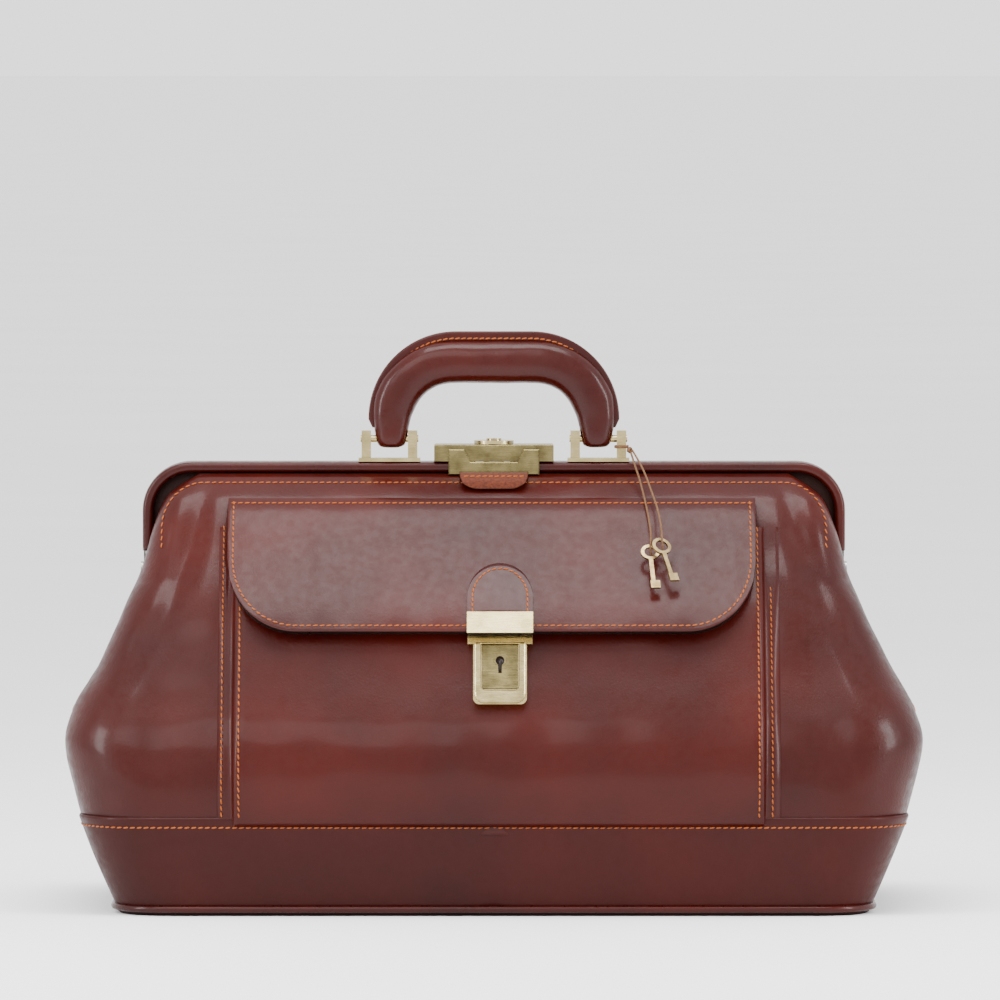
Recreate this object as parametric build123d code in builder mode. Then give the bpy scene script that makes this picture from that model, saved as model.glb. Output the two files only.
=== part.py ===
from build123d import *
import math
import os

# A leather doctor bag with a hinged steel mouth, a flapped front pocket and brass locks.
# Frame: +X to the right, +Y towards the back, +Z up. The origin is the centre of the sole.
# All lengths are millimetres.

os.makedirs("parts", exist_ok=True)

# ---- driving dimensions -------------------------------------------------------------
SOLE_T = 3.0
BAND_TOP = 47.0
SIDE_TOP = 100.0
GUSSET_TOP = 157.0
LOWER_TOP = 163.0
UPPER_BOTTOM = 166.0
UPPER_TOP = 210.5
LEATHER = 2.5

# outline of the bag: height, half width, half depth, corner radius in plan
BAND_SECTIONS = [(SOLE_T, 184.0, 85.5, 25.0), (BAND_TOP, 202.0, 95.0, 30.0)]
LOWER_SECTIONS = [
    (BAND_TOP, 200.5, 94.0, 30.0),
    (86.0, 209.5, 91.0, 32.0),
    (120.0, 193.0, 73.0, 30.0),
    (150.0, 181.0, 58.0, 26.0),
    (LOWER_TOP, 176.5, 50.0, 24.0),
]
UPPER_SECTIONS = [
    (UPPER_BOTTOM, 170.0, 46.5, 22.0),
    (200.0, 167.0, 27.0, 14.0),
    (UPPER_TOP, 148.0, 12.5, 8.0),
]
PANEL_SHARE = 0.62

# mouth frame
HINGE_Z = 165.0
FRAME_TOP = 217.7
FRAME_HALF_W = 173.0
FRAME_TUBE = 5.4
FRAME_DEPTH = 10.0
FRAME_CORNER_R = 24.0
FRAME_LEG_Z = 174.0
FRAME_GAP = 0.15
BAR_T = 2.4
BAR_DEPTH = 6.0
EYE_R = 5.0
EYE_T = 2.0
PIN_R = 2.0
RUNNING = 0.05

# front pocket and its flap
POCKET_X = 2.5
POCKET_HALF_W = 129.0
POCKET_TOP = 187.0
FLAP_X = -1.0
FLAP_HALF_W = 129.0
FLAP_T = 3.0
FLAP_TOP = 201.0
FLAP_BOTTOM = 138.5
FLAP_CORNER_R = 34.0

# pocket lock
LOCK_X = 3.0
LOCK_HALF_W = 13.0
LOCK_T = 5.0
LOCK_BOTTOM = 104.0
LOCK_TOP = 132.0
LOCK_BAR_HALF_W = 15.7
LOCK_BAR_TOP = 136.8
PLATE_HALF_W = 8.6
PLATE_BOTTOM = 111.0
PLATE_TRAVEL = 1.5
KEY_CORE_R = 3.2

# handle and its brackets
HANDLE_Y = -5.0
PIVOT_Z = 229.0
PIVOT_R = 1.75
HANDLE_END_Z = 224.6
HANDLE_TOP = 277.6
HANDLE_HALF_W = 57.8
HANDLE_IN_HALF_W = 43.4
HANDLE_IN_TOP = 256.4
HANDLE_DEPTH = 17.0
HANDLE_END_R = 2.5
FLANGE_TOP = 281.0
FLANGE_HALF_W = 60.6
FLANGE_T = 3.0
POST_Z = 233.0
BRACKET_BASE_Z = 219.6
LEG_X = 51.4

# top lock
CASE_HALF_W = 29.4
CASE_Y = (-10.5, 9.5)
CASE_BOTTOM = 218.0
CASE_TOP = 226.2
CASE_WALL = 1.5
DISC_R = 9.8
DISC_T = 1.6
STEM = (0.0, -0.5)
STEM_R = 3.0
BOLT_Y = 4.25
BOLT_Z = 221.0
BOLT_R = 1.4
BOLT_L = 15.4
BOLT_START = 6.6
GUIDE_X = 9.4

# keys on their cord
CORD_D = 1.0
KNOT = (66.8, -12.6, 223.6)
KNOT_R = 1.6
SLOPE = math.degrees(math.atan2(0.62, 1.0))


def save(builder, name):
    """Label a finished sub-part and write it as its own STEP file."""
    builder.part.label = name
    export_step(builder.part, f"parts/{name}.step")


def between(points, z):
    """The value at height z on a list of (z, value), straight between its points."""
    low = points[0]
    for high in points[1:]:
        if z <= high[0]:
            share = (z - low[0]) / (high[0] - low[0])
            return low[1] + share * (high[1] - low[1])
        low = high
    return low[1]


WALL = [(s[0], s[2]) for s in LOWER_SECTIONS[:-1]] + [(s[0], s[2]) for s in UPPER_SECTIONS[1:]]


def wall_y(z, proud):
    """Y of a surface that lies `proud` millimetres outside the front wall at height z."""
    return -between(WALL, z) - proud / math.cos(math.radians(SLOPE))


def shell(sections, thickness):
    """A ring of leather: the outside through the sections, less the inside."""
    for cut in (0.0, thickness):
        outlines = []
        for z, half_w, half_d, r in sections:
            with BuildSketch(Plane.XY.offset(z)) as outline:
                RectangleRounded(2 * (half_w - cut), 2 * (half_d - cut), r - cut)
            outlines.append(outline.sketch)
        loft(outlines, ruled=True, mode=Mode.ADD if cut == 0.0 else Mode.SUBTRACT)


def side_slice(points, x_low, x_high, mode=Mode.ADD):
    """A closed (y, z) outline drawn across X from x_low to x_high."""
    with BuildSketch(Plane.YZ.offset(x_low)) as outline:
        with BuildLine():
            Polyline(*points, close=True)
        make_face()
    extrude(outline.sketch, amount=x_high - x_low, mode=mode)


def slab(stations, x_low, x_high, mode=Mode.ADD):
    """A sheet over the front wall from stations of (z, inner stand-off, outer stand-off)."""
    inner = [(wall_y(z, a), z) for z, a, b in stations]
    outer = [(wall_y(z, b), z) for z, a, b in stations]
    side_slice(inner + outer[::-1], x_low, x_high, mode)


# ---- base ---------------------------------------------------------------------------
with BuildPart() as sole:
    with BuildSketch():
        RectangleRounded(2 * 183.0, 2 * 84.5, 24.5)
    extrude(amount=SOLE_T)
save(sole, "sole")

with BuildPart() as base_board:
    with BuildSketch(Plane.XY.offset(SOLE_T)):
        RectangleRounded(2 * 179.0, 2 * 80.5, 21.0)
    extrude(amount=3.0)
save(base_board, "base_board")

with BuildPart() as lower_piping:
    with BuildSketch(Plane.XY.offset(1.4)):
        RectangleRounded(2 * 186.6, 2 * 88.1, 27.8)
        RectangleRounded(2 * 183.4, 2 * 84.9, 24.9, mode=Mode.SUBTRACT)
    extrude(amount=3.6)
    with BuildSketch(Plane.XY.offset(SOLE_T)):
        RectangleRounded(2 * 185.0, 2 * 86.5, 26.0)
    extrude(amount=3.0, mode=Mode.SUBTRACT)
save(lower_piping, "lower_piping")

for side, name in ((-1, "band_left"), (1, "band_right")):
    with BuildPart() as band_half:
        shell(BAND_SECTIONS, 3.0)
        keep = Plane.YZ if side > 0 else -Plane.YZ
        split(bisect_by=keep, keep=Keep.TOP)
    save(band_half, name)

# ---- lower walls --------------------------------------------------------------------
share_line = [(-PANEL_SHARE * s[2], s[0]) for s in LOWER_SECTIONS]

with BuildPart() as front_panel:
    shell(LOWER_SECTIONS, LEATHER)
    side_slice(
        share_line + [(-120.0, LOWER_TOP), (-120.0, BAND_TOP)], -230.0, 230.0, Mode.INTERSECT
    )
save(front_panel, "front_panel")

with BuildPart() as back_panel:
    add(front_panel.part.mirror(Plane.XZ))
save(back_panel, "back_panel")

for side, name in ((-1, "side_panel_left"), (1, "side_panel_right")):
    with BuildPart() as side_panel:
        shell(LOWER_SECTIONS, LEATHER)
        low = [(y, z) for y, z in share_line if z < SIDE_TOP]
        low.append((-PANEL_SHARE * between(WALL, SIDE_TOP), SIDE_TOP))
        outline = low + [(-y, z) for y, z in low[::-1]]
        side_slice(outline, min(0, side * 230.0), max(0, side * 230.0), Mode.INTERSECT)
    save(side_panel, name)


def folded_strip(z, edge_x, fold_x, half_d):
    """Plan outline of a gusset that folds inwards between the two panels."""
    t = 1.6
    points = [(edge_x, -half_d), (fold_x, 0), (edge_x, half_d)]
    back = [(edge_x - t, half_d), (fold_x - t, 0), (edge_x - t, -half_d)]
    with BuildSketch(Plane.XY.offset(z)) as outline:
        with BuildLine():
            Polyline(*points, *back, close=True)
        make_face()
    return outline.sketch


with BuildPart() as gusset_right:
    folds = [
        folded_strip(SIDE_TOP, 200.0, 196.0, 50.0),
        folded_strip(130.0, 186.0, 172.0, 41.0),
        folded_strip(GUSSET_TOP, 175.5, 160.0, 32.0),
    ]
    loft(folds, ruled=True)
save(gusset_right, "gusset_right")

with BuildPart() as gusset_left:
    add(gusset_right.part.mirror(Plane.YZ))
save(gusset_left, "gusset_left")

with BuildPart() as lining:
    inside = [
        (6.2, 181.0, 82.4, 22.0),
        (BAND_TOP, 197.6, 91.2, 27.0),
        (86.0, 206.4, 88.0, 29.0),
        (SIDE_TOP - 1, 200.0, 81.0, 28.0),
    ]
    shell(inside, 0.9)
    with BuildSketch(Plane.XY.offset(6.2)):
        RectangleRounded(2 * 180.2, 2 * 81.6, 21.2)
    extrude(amount=0.9)
save(lining, "lining")

# ---- front pocket -------------------------------------------------------------------
pocket_left = POCKET_X - POCKET_HALF_W
pocket_right = POCKET_X + POCKET_HALF_W
# stations of the pocket: height, inner stand-off and outer stand-off from the wall
POCKET_LOW = [
    (BAND_TOP + 0.6, 0.5, 2.7),
    (62.0, 5.2, 7.4),
    (86.0, 7.4, 9.6),
    (120.0, 7.8, 10.0),
    (150.0, 7.2, 9.4),
    (LOWER_TOP, 6.2, 8.4),
]
POCKET_HIGH = [(LOWER_TOP + 0.4, 6.2, 8.4), (POCKET_TOP, 2.6, 4.8)]

with BuildPart() as pocket_panel:
    slab(POCKET_LOW, pocket_left, pocket_right)
save(pocket_panel, "pocket_panel")

with BuildPart() as pocket_gusset:
    edge = [(z, 0.3, a) for z, a, b in POCKET_LOW]
    slab(edge, pocket_left, pocket_left + 1.6)
    slab(edge, pocket_right - 1.6, pocket_right)
save(pocket_gusset, "pocket_gusset")

with BuildPart() as pocket_mouth:
    slab(POCKET_HIGH, pocket_left, pocket_right)
save(pocket_mouth, "pocket_mouth")

# ---- pocket lock --------------------------------------------------------------------
def lock_sheet(z_low, z_high, inner, outer, half_w, mode=Mode.ADD):
    """A metal layer on the pocket between two heights and two stand-offs from the wall."""
    low = [(z, inner, outer) for z in (z_low, 120.0, z_high) if z_low <= z <= z_high]
    slab(low, LOCK_X - half_w, LOCK_X + half_w, mode)


# stand-offs from the wall: pocket face, release plate back and lock face
POCKET_FACE = 10.3
PLATE_BACK = 12.6
LOCK_FACE = POCKET_FACE + LOCK_T
CORE_Z = 125.0
lock_lean = math.atan2(0.5, 1.0)
core_face = Plane(
    origin=(LOCK_X, wall_y(CORE_Z, LOCK_FACE - 0.2), CORE_Z),
    x_dir=(1, 0, 0),
    z_dir=(0.0, -math.cos(lock_lean), math.sin(lock_lean)),
)


with BuildPart() as lock_body:
    lock_sheet(LOCK_BOTTOM, LOCK_TOP, POCKET_FACE, LOCK_FACE, LOCK_HALF_W)
    fillet(lock_body.edges().filter_by(Axis.Y, tolerance=40).sort_by(Axis.Z)[:2], 3.0)
    lock_sheet(PLATE_BOTTOM, LOCK_TOP + 0.1, PLATE_BACK - PLATE_TRAVEL, 40.0, PLATE_HALF_W + 0.3,
               Mode.SUBTRACT)
save(lock_body, "lock_body")

with BuildPart() as lock_top_bar:
    lock_sheet(LOCK_TOP + 0.3, LOCK_BAR_TOP, POCKET_FACE, LOCK_FACE, LOCK_BAR_HALF_W)
save(lock_top_bar, "lock_top_bar")

with BuildPart() as release_plate:
    lock_sheet(PLATE_BOTTOM + 0.3, LOCK_TOP - 0.1, PLATE_BACK, LOCK_FACE - 0.4, PLATE_HALF_W)
    with BuildSketch(core_face):
        Circle(KEY_CORE_R + RUNNING)
    extrude(amount=12.0, both=True, mode=Mode.SUBTRACT)
save(release_plate, "release_plate")

with BuildPart() as key_core:
    with BuildSketch(core_face):
        Circle(KEY_CORE_R)
    extrude(amount=-2.2)
    with BuildSketch(core_face):
        Circle(1.1)
        with Locations((0, -1.3)):
            Rectangle(1.2, 2.4)
    extrude(amount=-1.4, mode=Mode.SUBTRACT)
save(key_core, "key_core")

with BuildPart() as lock_backing:
    lock_sheet(LOCK_BOTTOM + 2.0, LOCK_TOP - 1.0, 6.1, 7.3, LOCK_HALF_W - 1.0)
save(lock_backing, "lock_backing")

# ---- flap ---------------------------------------------------------------------------
FLAP_STATIONS = [
    (FLAP_BOTTOM - 1.5, 15.9, 15.9 + FLAP_T),
    (150.0, 14.0, 14.0 + FLAP_T),
    (LOWER_TOP, 11.0, 11.0 + FLAP_T),
    (POCKET_TOP, 6.0, 6.0 + FLAP_T),
    (196.0, 3.8, 3.8 + FLAP_T),
    (FLAP_TOP, 2.8, 4.6),
]
FLAP_FACE = [(z, outer) for z, inner, outer in FLAP_STATIONS]


def on_flap(heights, low, high):
    """Stations of a sheet that lies on the flap's outer face, between two stand-offs."""
    faces = [(z, between(FLAP_FACE, z)) for z in heights]
    return [(z, face + low, face + high) for z, face in faces]


flap_left = FLAP_X - FLAP_HALF_W
flap_right = FLAP_X + FLAP_HALF_W

with BuildPart() as flap:
    slab(FLAP_STATIONS, flap_left, flap_right)
    with BuildSketch(Plane.XZ):
        with BuildLine():
            l1 = Polyline(
                (flap_left, FLAP_BOTTOM + FLAP_CORNER_R),
                (flap_left, FLAP_TOP + 5),
                (flap_right, FLAP_TOP + 5),
                (flap_right, FLAP_BOTTOM + FLAP_CORNER_R),
            )
            l2 = RadiusArc(
                (flap_right, FLAP_BOTTOM + FLAP_CORNER_R),
                (flap_right - FLAP_CORNER_R, FLAP_BOTTOM),
                FLAP_CORNER_R,
            )
            l3 = Line(l2 @ 1, (flap_left + FLAP_CORNER_R, FLAP_BOTTOM))
            RadiusArc(l3 @ 1, l1 @ 0, FLAP_CORNER_R)
        make_face()
    extrude(amount=150.0, mode=Mode.INTERSECT)
save(flap, "flap")

STRIP_BOTTOM, STRIP_TOP = 188.5, 199.0
STRIP_INNER, STRIP_OUTER = 0.5, 1.8
with BuildPart() as flap_strip:
    slab([(STRIP_BOTTOM, STRIP_INNER, STRIP_OUTER), (STRIP_TOP, STRIP_INNER, STRIP_OUTER)],
         flap_left, flap_right)
save(flap_strip, "flap_strip")

with BuildPart() as flap_lock_bar:
    slab(on_flap((138.2, 148.0), 0.1, 4.0), LOCK_X - 16.0, LOCK_X + 16.0)
save(flap_lock_bar, "flap_lock_bar")

with BuildPart() as lock_patch:
    slab(on_flap((148.4, 150.0, LOWER_TOP, 170.5), 0.1, 1.3), LOCK_X - 16.5, LOCK_X + 16.5)
save(lock_patch, "lock_patch")


# ---- mouth frame --------------------------------------------------------------------
def arch_band(plane, outer, inner, amount):
    """A solid between two arches, each given as (half width, top, corner radius, low end)."""
    for number, (half_w, top, corner, low) in enumerate((outer, inner)):
        with BuildSketch(plane) as outline:
            with Locations((0, (top + low) / 2)):
                Rectangle(2 * half_w, top - low)
            fillet(outline.vertices().group_by(Axis.Y)[-1], corner)
        extrude(outline.sketch, amount=amount, mode=Mode.ADD if number == 0 else Mode.SUBTRACT)


half_tube = FRAME_TUBE / 2
half_bar = BAR_T / 2
bar_mid_w = FRAME_HALF_W - half_tube
bar_mid_top = FRAME_TOP - half_tube
bar_mid_r = FRAME_CORNER_R - half_tube
cover_depth = FRAME_DEPTH - FRAME_GAP
bar_y = -(FRAME_DEPTH + FRAME_GAP) / 2 + BAR_DEPTH / 2


def frame_bar(name, eye_x):
    """The steel bow of one half of the mouth, with a flat eye at each end."""
    with BuildPart() as bow:
        arch_band(
            Plane.XZ.offset(-bar_y),
            (bar_mid_w + half_bar, bar_mid_top + half_bar, bar_mid_r + half_bar, FRAME_LEG_Z - 1.5),
            (bar_mid_w - half_bar, bar_mid_top - half_bar, bar_mid_r - half_bar, 100.0),
            BAR_DEPTH,
        )
        for side in (-1, 1):
            with BuildSketch(Plane.YZ.offset(side * eye_x - EYE_T / 2)) as eye:
                with Locations((0, HINGE_Z)):
                    Circle(EYE_R)
                with BuildLine():
                    Polyline(
                        (-4.6, HINGE_Z + 1.0),
                        (1.0, HINGE_Z + 4.5),
                        (-0.6, HINGE_Z + 6.5),
                        (bar_y, FRAME_LEG_Z - 0.2),
                        (bar_y - BAR_DEPTH, FRAME_LEG_Z - 0.2),
                        close=True,
                    )
                make_face()
            extrude(eye.sketch, amount=EYE_T)
            with Locations((side * eye_x, 0, HINGE_Z)):
                Cylinder(PIN_R + RUNNING, 2 * EYE_T, rotation=(0, 90, 0), mode=Mode.SUBTRACT)
    return bow


front_frame_bar = frame_bar("front_frame_bar", bar_mid_w + 1.1)
save(front_frame_bar, "front_frame_bar")

back_bow = frame_bar("back_frame_bar", bar_mid_w - 1.2)
with BuildPart() as back_frame_bar:
    add(back_bow.part.mirror(Plane.XZ))
save(back_frame_bar, "back_frame_bar")

with BuildPart() as front_frame_cover:
    arch_band(
        Plane.XZ.offset(FRAME_GAP),
        (FRAME_HALF_W, FRAME_TOP, FRAME_CORNER_R, FRAME_LEG_Z),
        (FRAME_HALF_W - FRAME_TUBE, FRAME_TOP - FRAME_TUBE, FRAME_CORNER_R - FRAME_TUBE, 100.0),
        cover_depth,
    )
    front_edges = front_frame_cover.edges().group_by(Axis.Y)[0]
    fillet(front_edges.filter_by(lambda e: e.center().Z > FRAME_LEG_Z + 1), 1.8)
    add(front_frame_bar.part, mode=Mode.SUBTRACT)
save(front_frame_cover, "front_frame_cover")

with BuildPart() as back_frame_cover:
    add(front_frame_cover.part.mirror(Plane.XZ))
save(back_frame_cover, "back_frame_cover")

with BuildPart() as front_wall_top:
    shell(UPPER_SECTIONS, LEATHER)
    side_slice(
        [
            (-FRAME_DEPTH - 0.3, UPPER_BOTTOM),
            (-FRAME_DEPTH - 0.3, UPPER_TOP),
            (-120.0, UPPER_TOP),
            (-120.0, UPPER_BOTTOM),
        ],
        -230.0,
        230.0,
        Mode.INTERSECT,
    )
save(front_wall_top, "front_wall_top")

with BuildPart() as back_wall_top:
    add(front_wall_top.part.mirror(Plane.XZ))
save(back_wall_top, "back_wall_top")

with BuildPart() as hinge_pins:
    for side in (-1, 1):
        with Locations((side * bar_mid_w, 0, HINGE_Z)):
            Cylinder(PIN_R, 6.8, rotation=(0, 90, 0))
        for head in (-1, 1):
            with Locations((side * bar_mid_w + head * 3.1, 0, HINGE_Z)):
                Cylinder(3.4, 1.2, rotation=(0, 90, 0))
save(hinge_pins, "hinge_pins")

# ---- top lock -----------------------------------------------------------------------
case_y_mid = (CASE_Y[0] + CASE_Y[1]) / 2
case_depth = CASE_Y[1] - CASE_Y[0]

with BuildPart() as top_lock_case:
    with BuildSketch(Plane.XY.offset(CASE_BOTTOM)):
        with Locations((0, case_y_mid)):
            Rectangle(2 * CASE_HALF_W, case_depth)
    extrude(amount=CASE_TOP - CASE_BOTTOM)
    chamfer(top_lock_case.edges().group_by(Axis.Z)[-1], 0.6)
    with BuildSketch(Plane.XY.offset(CASE_BOTTOM)):
        with Locations((0, case_y_mid)):
            Rectangle(2 * (CASE_HALF_W - 7.0), case_depth - 2 * CASE_WALL)
        with Locations((0, CASE_Y[1] - CASE_WALL / 2)):
            Rectangle(18.0, CASE_WALL + 0.2)
    extrude(amount=CASE_TOP - CASE_BOTTOM - CASE_WALL, mode=Mode.SUBTRACT)
    with Locations((STEM[0], STEM[1], CASE_TOP - CASE_WALL / 2)):
        Cylinder(STEM_R + RUNNING, 2 * CASE_WALL, mode=Mode.SUBTRACT)
    for side in (-1, 1):
        groove = (side * (CASE_HALF_W - 3.2), case_y_mid, BOLT_Z + 1.2)
        with Locations(groove):
            Box(6.6, case_depth - 6.0, 1.0, mode=Mode.SUBTRACT)
    guide_depth = CASE_Y[1] - CASE_WALL - 1.5
    with Locations((GUIDE_X, 1.5 + guide_depth / 2, (CASE_BOTTOM + CASE_TOP - CASE_WALL) / 2)):
        Box(2.5, guide_depth, CASE_TOP - CASE_WALL - CASE_BOTTOM)
    with Locations((GUIDE_X, BOLT_Y, BOLT_Z)):
        Cylinder(BOLT_R + RUNNING, 4.0, rotation=(0, 90, 0), mode=Mode.SUBTRACT)
save(top_lock_case, "top_lock_case")

with BuildPart() as top_lock_plate:
    with BuildSketch(Plane.XZ.offset(10.7)):
        with BuildLine():
            Polyline(
                (-22.3, 224.0), (-14.5, 224.0), (-11.5, 217.8), (11.5, 217.8), (14.5, 224.0),
                (22.3, 224.0), (22.3, 211.4), (-22.3, 211.4), close=True,
            )
        make_face()
    extrude(amount=2.6)
    chamfer(top_lock_plate.faces().sort_by(Axis.Y)[0].edges(), 0.5)
save(top_lock_plate, "top_lock_plate")

with BuildPart() as turn_disc:
    with Locations((STEM[0], STEM[1], CASE_TOP + 0.2 + DISC_T / 2)):
        Cylinder(DISC_R, DISC_T)
    with Locations((STEM[0], STEM[1], CASE_TOP + 0.2 + DISC_T + 0.5)):
        Cylinder(3.7, 1.0)
    with Locations((STEM[0], STEM[1], CASE_TOP - 1.0)):
        Cylinder(STEM_R, 3.0)
    with Locations((STEM[0] + 2.75, STEM[1], CASE_TOP - 3.0)):
        Box(5.5, 2.4, 1.4)
    with Locations((STEM[0], STEM[1], CASE_TOP - 2.9)):
        Cylinder(1.6, 1.6)
    with Locations((STEM[0], STEM[1], CASE_TOP + 0.2 + DISC_T + 1.0)):
        Box(1.0, 4.0, 1.2, mode=Mode.SUBTRACT)
save(turn_disc, "turn_disc")

with BuildPart() as lock_bolt:
    with Locations((BOLT_START + BOLT_L / 2, BOLT_Y, BOLT_Z)):
        Cylinder(BOLT_R, BOLT_L, rotation=(0, 90, 0))
save(lock_bolt, "lock_bolt")

with BuildPart() as striker:
    for side in (-1, 1):
        with Locations((side * 4.0, 4.25, (FRAME_TOP + 223.4) / 2)):
            Box(2.0, 5.5, 223.4 - FRAME_TOP)
    with Locations((0, 4.25, FRAME_TOP + 0.4)):
        Box(10.0, 5.5, 0.8)
    with Locations((0, BOLT_Y, BOLT_Z)):
        Cylinder(BOLT_R + 0.5, 20.0, rotation=(0, 90, 0), mode=Mode.SUBTRACT)
save(striker, "striker")

with BuildPart() as pull_tab:
    side_slice(
        [(-13.6, 210.9), (-13.6, 213.2), (-19.0, 211.6), (-25.5, 206.6), (-24.4, 204.8),
         (-18.0, 208.4)],
        -17.0,
        17.0,
    )
save(pull_tab, "pull_tab")

# ---- handle -------------------------------------------------------------------------
for side, name in ((-1, "bracket_left"), (1, "bracket_right")):
    with BuildPart() as bracket:
        with Locations((side * LEG_X, HANDLE_Y, (FRAME_TOP + 0.1 + BRACKET_BASE_Z) / 2)):
            Box(30.4, 9.0, BRACKET_BASE_Z - FRAME_TOP - 0.1)
        for post in (-1, 1):
            middle = (side * LEG_X + post * 11.4, HANDLE_Y, (BRACKET_BASE_Z + POST_Z) / 2)
            with Locations(middle):
                Box(4.6, 7.0, POST_Z - BRACKET_BASE_Z)
        with Locations((side * LEG_X, HANDLE_Y, PIVOT_Z)):
            Cylinder(PIVOT_R, 40.0, rotation=(0, 90, 0), mode=Mode.SUBTRACT)
    save(bracket, name)

with BuildPart() as handle_pins:
    for side in (-1, 1):
        with Locations((side * LEG_X, HANDLE_Y, PIVOT_Z)):
            Cylinder(PIVOT_R, 28.4, rotation=(0, 90, 0))
save(handle_pins, "handle_pins")

handle_plane = Plane.XZ.offset(-HANDLE_Y - HANDLE_DEPTH / 2)
with BuildPart() as handle_core:
    arch_band(
        Plane.XZ.offset(-HANDLE_Y - 3.0),
        (LEG_X + 3.0, 270.0, 36.0, HANDLE_END_Z + 1.0),
        (LEG_X - 3.0, 264.0, 30.0, 100.0),
        6.0,
    )
    for side in (-1, 1):
        with Locations((side * LEG_X, HANDLE_Y, PIVOT_Z)):
            Cylinder(PIVOT_R + RUNNING, 20.0, rotation=(0, 90, 0), mode=Mode.SUBTRACT)
save(handle_core, "handle_core")

with BuildPart() as handle_cover:
    arch_band(
        handle_plane,
        (HANDLE_HALF_W, HANDLE_TOP, 40.0, HANDLE_END_Z),
        (HANDLE_IN_HALF_W, HANDLE_IN_TOP, 20.0, 100.0),
        HANDLE_DEPTH,
    )
    long_edges = handle_cover.edges().group_by(Axis.Y)
    rim = long_edges[0] + long_edges[-1]
    fillet(rim.filter_by(lambda e: e.center().Z > HANDLE_END_Z + 0.5), 4.5)
    ends = handle_cover.edges().group_by(Axis.Z)[0]
    fillet(ends.filter_by(Axis.X), HANDLE_END_R)
    add(handle_core.part, mode=Mode.SUBTRACT)
    for side in (-1, 1):
        with Locations((side * LEG_X, HANDLE_Y, PIVOT_Z)):
            Cylinder(PIVOT_R + RUNNING, 20.0, rotation=(0, 90, 0), mode=Mode.SUBTRACT)
save(handle_cover, "handle_cover")

with BuildPart() as handle_flange:
    arch_band(
        Plane.XZ.offset(-HANDLE_Y - FLANGE_T / 2),
        (FLANGE_HALF_W, FLANGE_TOP, 42.8, PIVOT_Z + 5.5),
        (HANDLE_HALF_W, HANDLE_TOP, 40.0, 100.0),
        FLANGE_T,
    )
save(handle_flange, "handle_flange")

# ---- keys on their cord -------------------------------------------------------------
with BuildPart() as key_cord_wrap:
    with BuildSketch(Plane.XY.offset(224.0)):
        with Locations((LEG_X + 11.4, HANDLE_Y)):
            RectangleRounded(4.6 + 2.4, 7.0 + 2.4, 1.0)
            Rectangle(4.6 + 0.2, 7.0 + 0.2, mode=Mode.SUBTRACT)
    extrude(amount=2.0)
save(key_cord_wrap, "key_cord_wrap")

with BuildPart() as key_knot:
    with Locations(KNOT):
        Sphere(KNOT_R)
save(key_knot, "key_knot")


def over_flap(x, z, proud):
    """A point in front of the closed flap at height z, `proud` millimetres off its face."""
    return (x, wall_y(z, between(FLAP_FACE, z) + proud), z)


# the keys lie along the sloping flap, in a plane of their own
KEY_Z = 172.0
flap_high = over_flap(0.0, 186.0, 0.0)
flap_low = over_flap(0.0, 151.0, 0.0)
key_lean = math.atan2(flap_high[1] - flap_low[1], flap_high[2] - flap_low[2])
key_plane = Plane(
    origin=over_flap(0.0, KEY_Z, 0.0),
    x_dir=(1, 0, 0),
    z_dir=(0.0, -math.cos(key_lean), math.sin(key_lean)),
)


def lying(x, up, out):
    """A point across, up and out from the place on the flap where the keys lie."""
    return tuple(key_plane.from_local_coords((x, up, out)))


# from the knot down the first strand, through both bows and back up to the knot
route = [
    (67.3, -13.4, 222.5),
    (69.2, -17.4, 216.6),
    (71.6, -24.8, 209.4),
    (73.5, -34.2, 201.9),
    (75.2, -44.6, 194.0),
    (76.1, -51.3, 188.9),
    (76.5, -57.0, 185.2),
    (76.5, -61.3, 181.7),
    (76.2, -63.2, 177.4),
    (76.5, -62.1, 173.8),
    (81.6, -61.9, 174.0),
    (82.2, -62.8, 177.8),
    (81.9, -63.9, 181.4),
    (81.7, -61.2, 185.7),
    (81.3, -56.1, 189.7),
    (80.3, -48.3, 194.8),
    (78.8, -40.7, 199.9),
    (76.9, -34.6, 205.0),
    (74.2, -26.0, 212.4),
    (71.0, -17.6, 218.9),
    (68.1, -12.9, 223.4),
]

radii = []
for before, here, after in zip(route, route[1:], route[2:]):
    first = Vector(*here) - Vector(*before)
    second = Vector(*after) - Vector(*here)
    turn = math.radians(first.get_angle(second))
    shorter = min(first.length, second.length)
    radii.append(0.45 * shorter / math.tan(turn / 2))
print("cord radii", [round(r, 1) for r in radii])

with BuildPart() as key_cord:
    with BuildLine() as cord_line:
        FilletPolyline(*route, radius=radii)
    cord_length = cord_line.wires()[0].length
    with BuildSketch(Plane(origin=cord_line.wires()[0] @ 0, z_dir=cord_line.wires()[0] % 0)):
        Circle(CORD_D / 2)
    sweep()
section = math.pi * CORD_D**2 / 4
print("cord length", round(cord_length, 1), "volume", round(key_cord.part.volume, 2))
print("section times length", round(section * cord_length, 2))
save(key_cord, "key_cord")


def key(name, x, up, out, lean, bow_r, length):
    """A small flat key: a round bow, a shaft and a bit, lying over the sloping flap."""
    flat = Plane(lying(x, up, out), key_plane.x_dir, key_plane.z_dir)
    with BuildPart() as blank:
        with BuildSketch(flat.rotated((0, 0, lean))):
            Circle(bow_r)
            Circle(bow_r - 1.6, mode=Mode.SUBTRACT)
            with Locations((0, -bow_r - length / 2 + 0.4)):
                Rectangle(2.0, length)
            with Locations((0.9, -bow_r - length + 2.6)):
                Rectangle(4.6, 4.4)
        extrude(amount=1.2)
    save(blank, name)


key("key_front", 81.4, 1.9, 7.4, 23.0, 4.8, 17.0)
key("key_rear", 76.0, 0.0, 5.0, 7.0, 4.5, 18.0)
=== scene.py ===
import math

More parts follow.
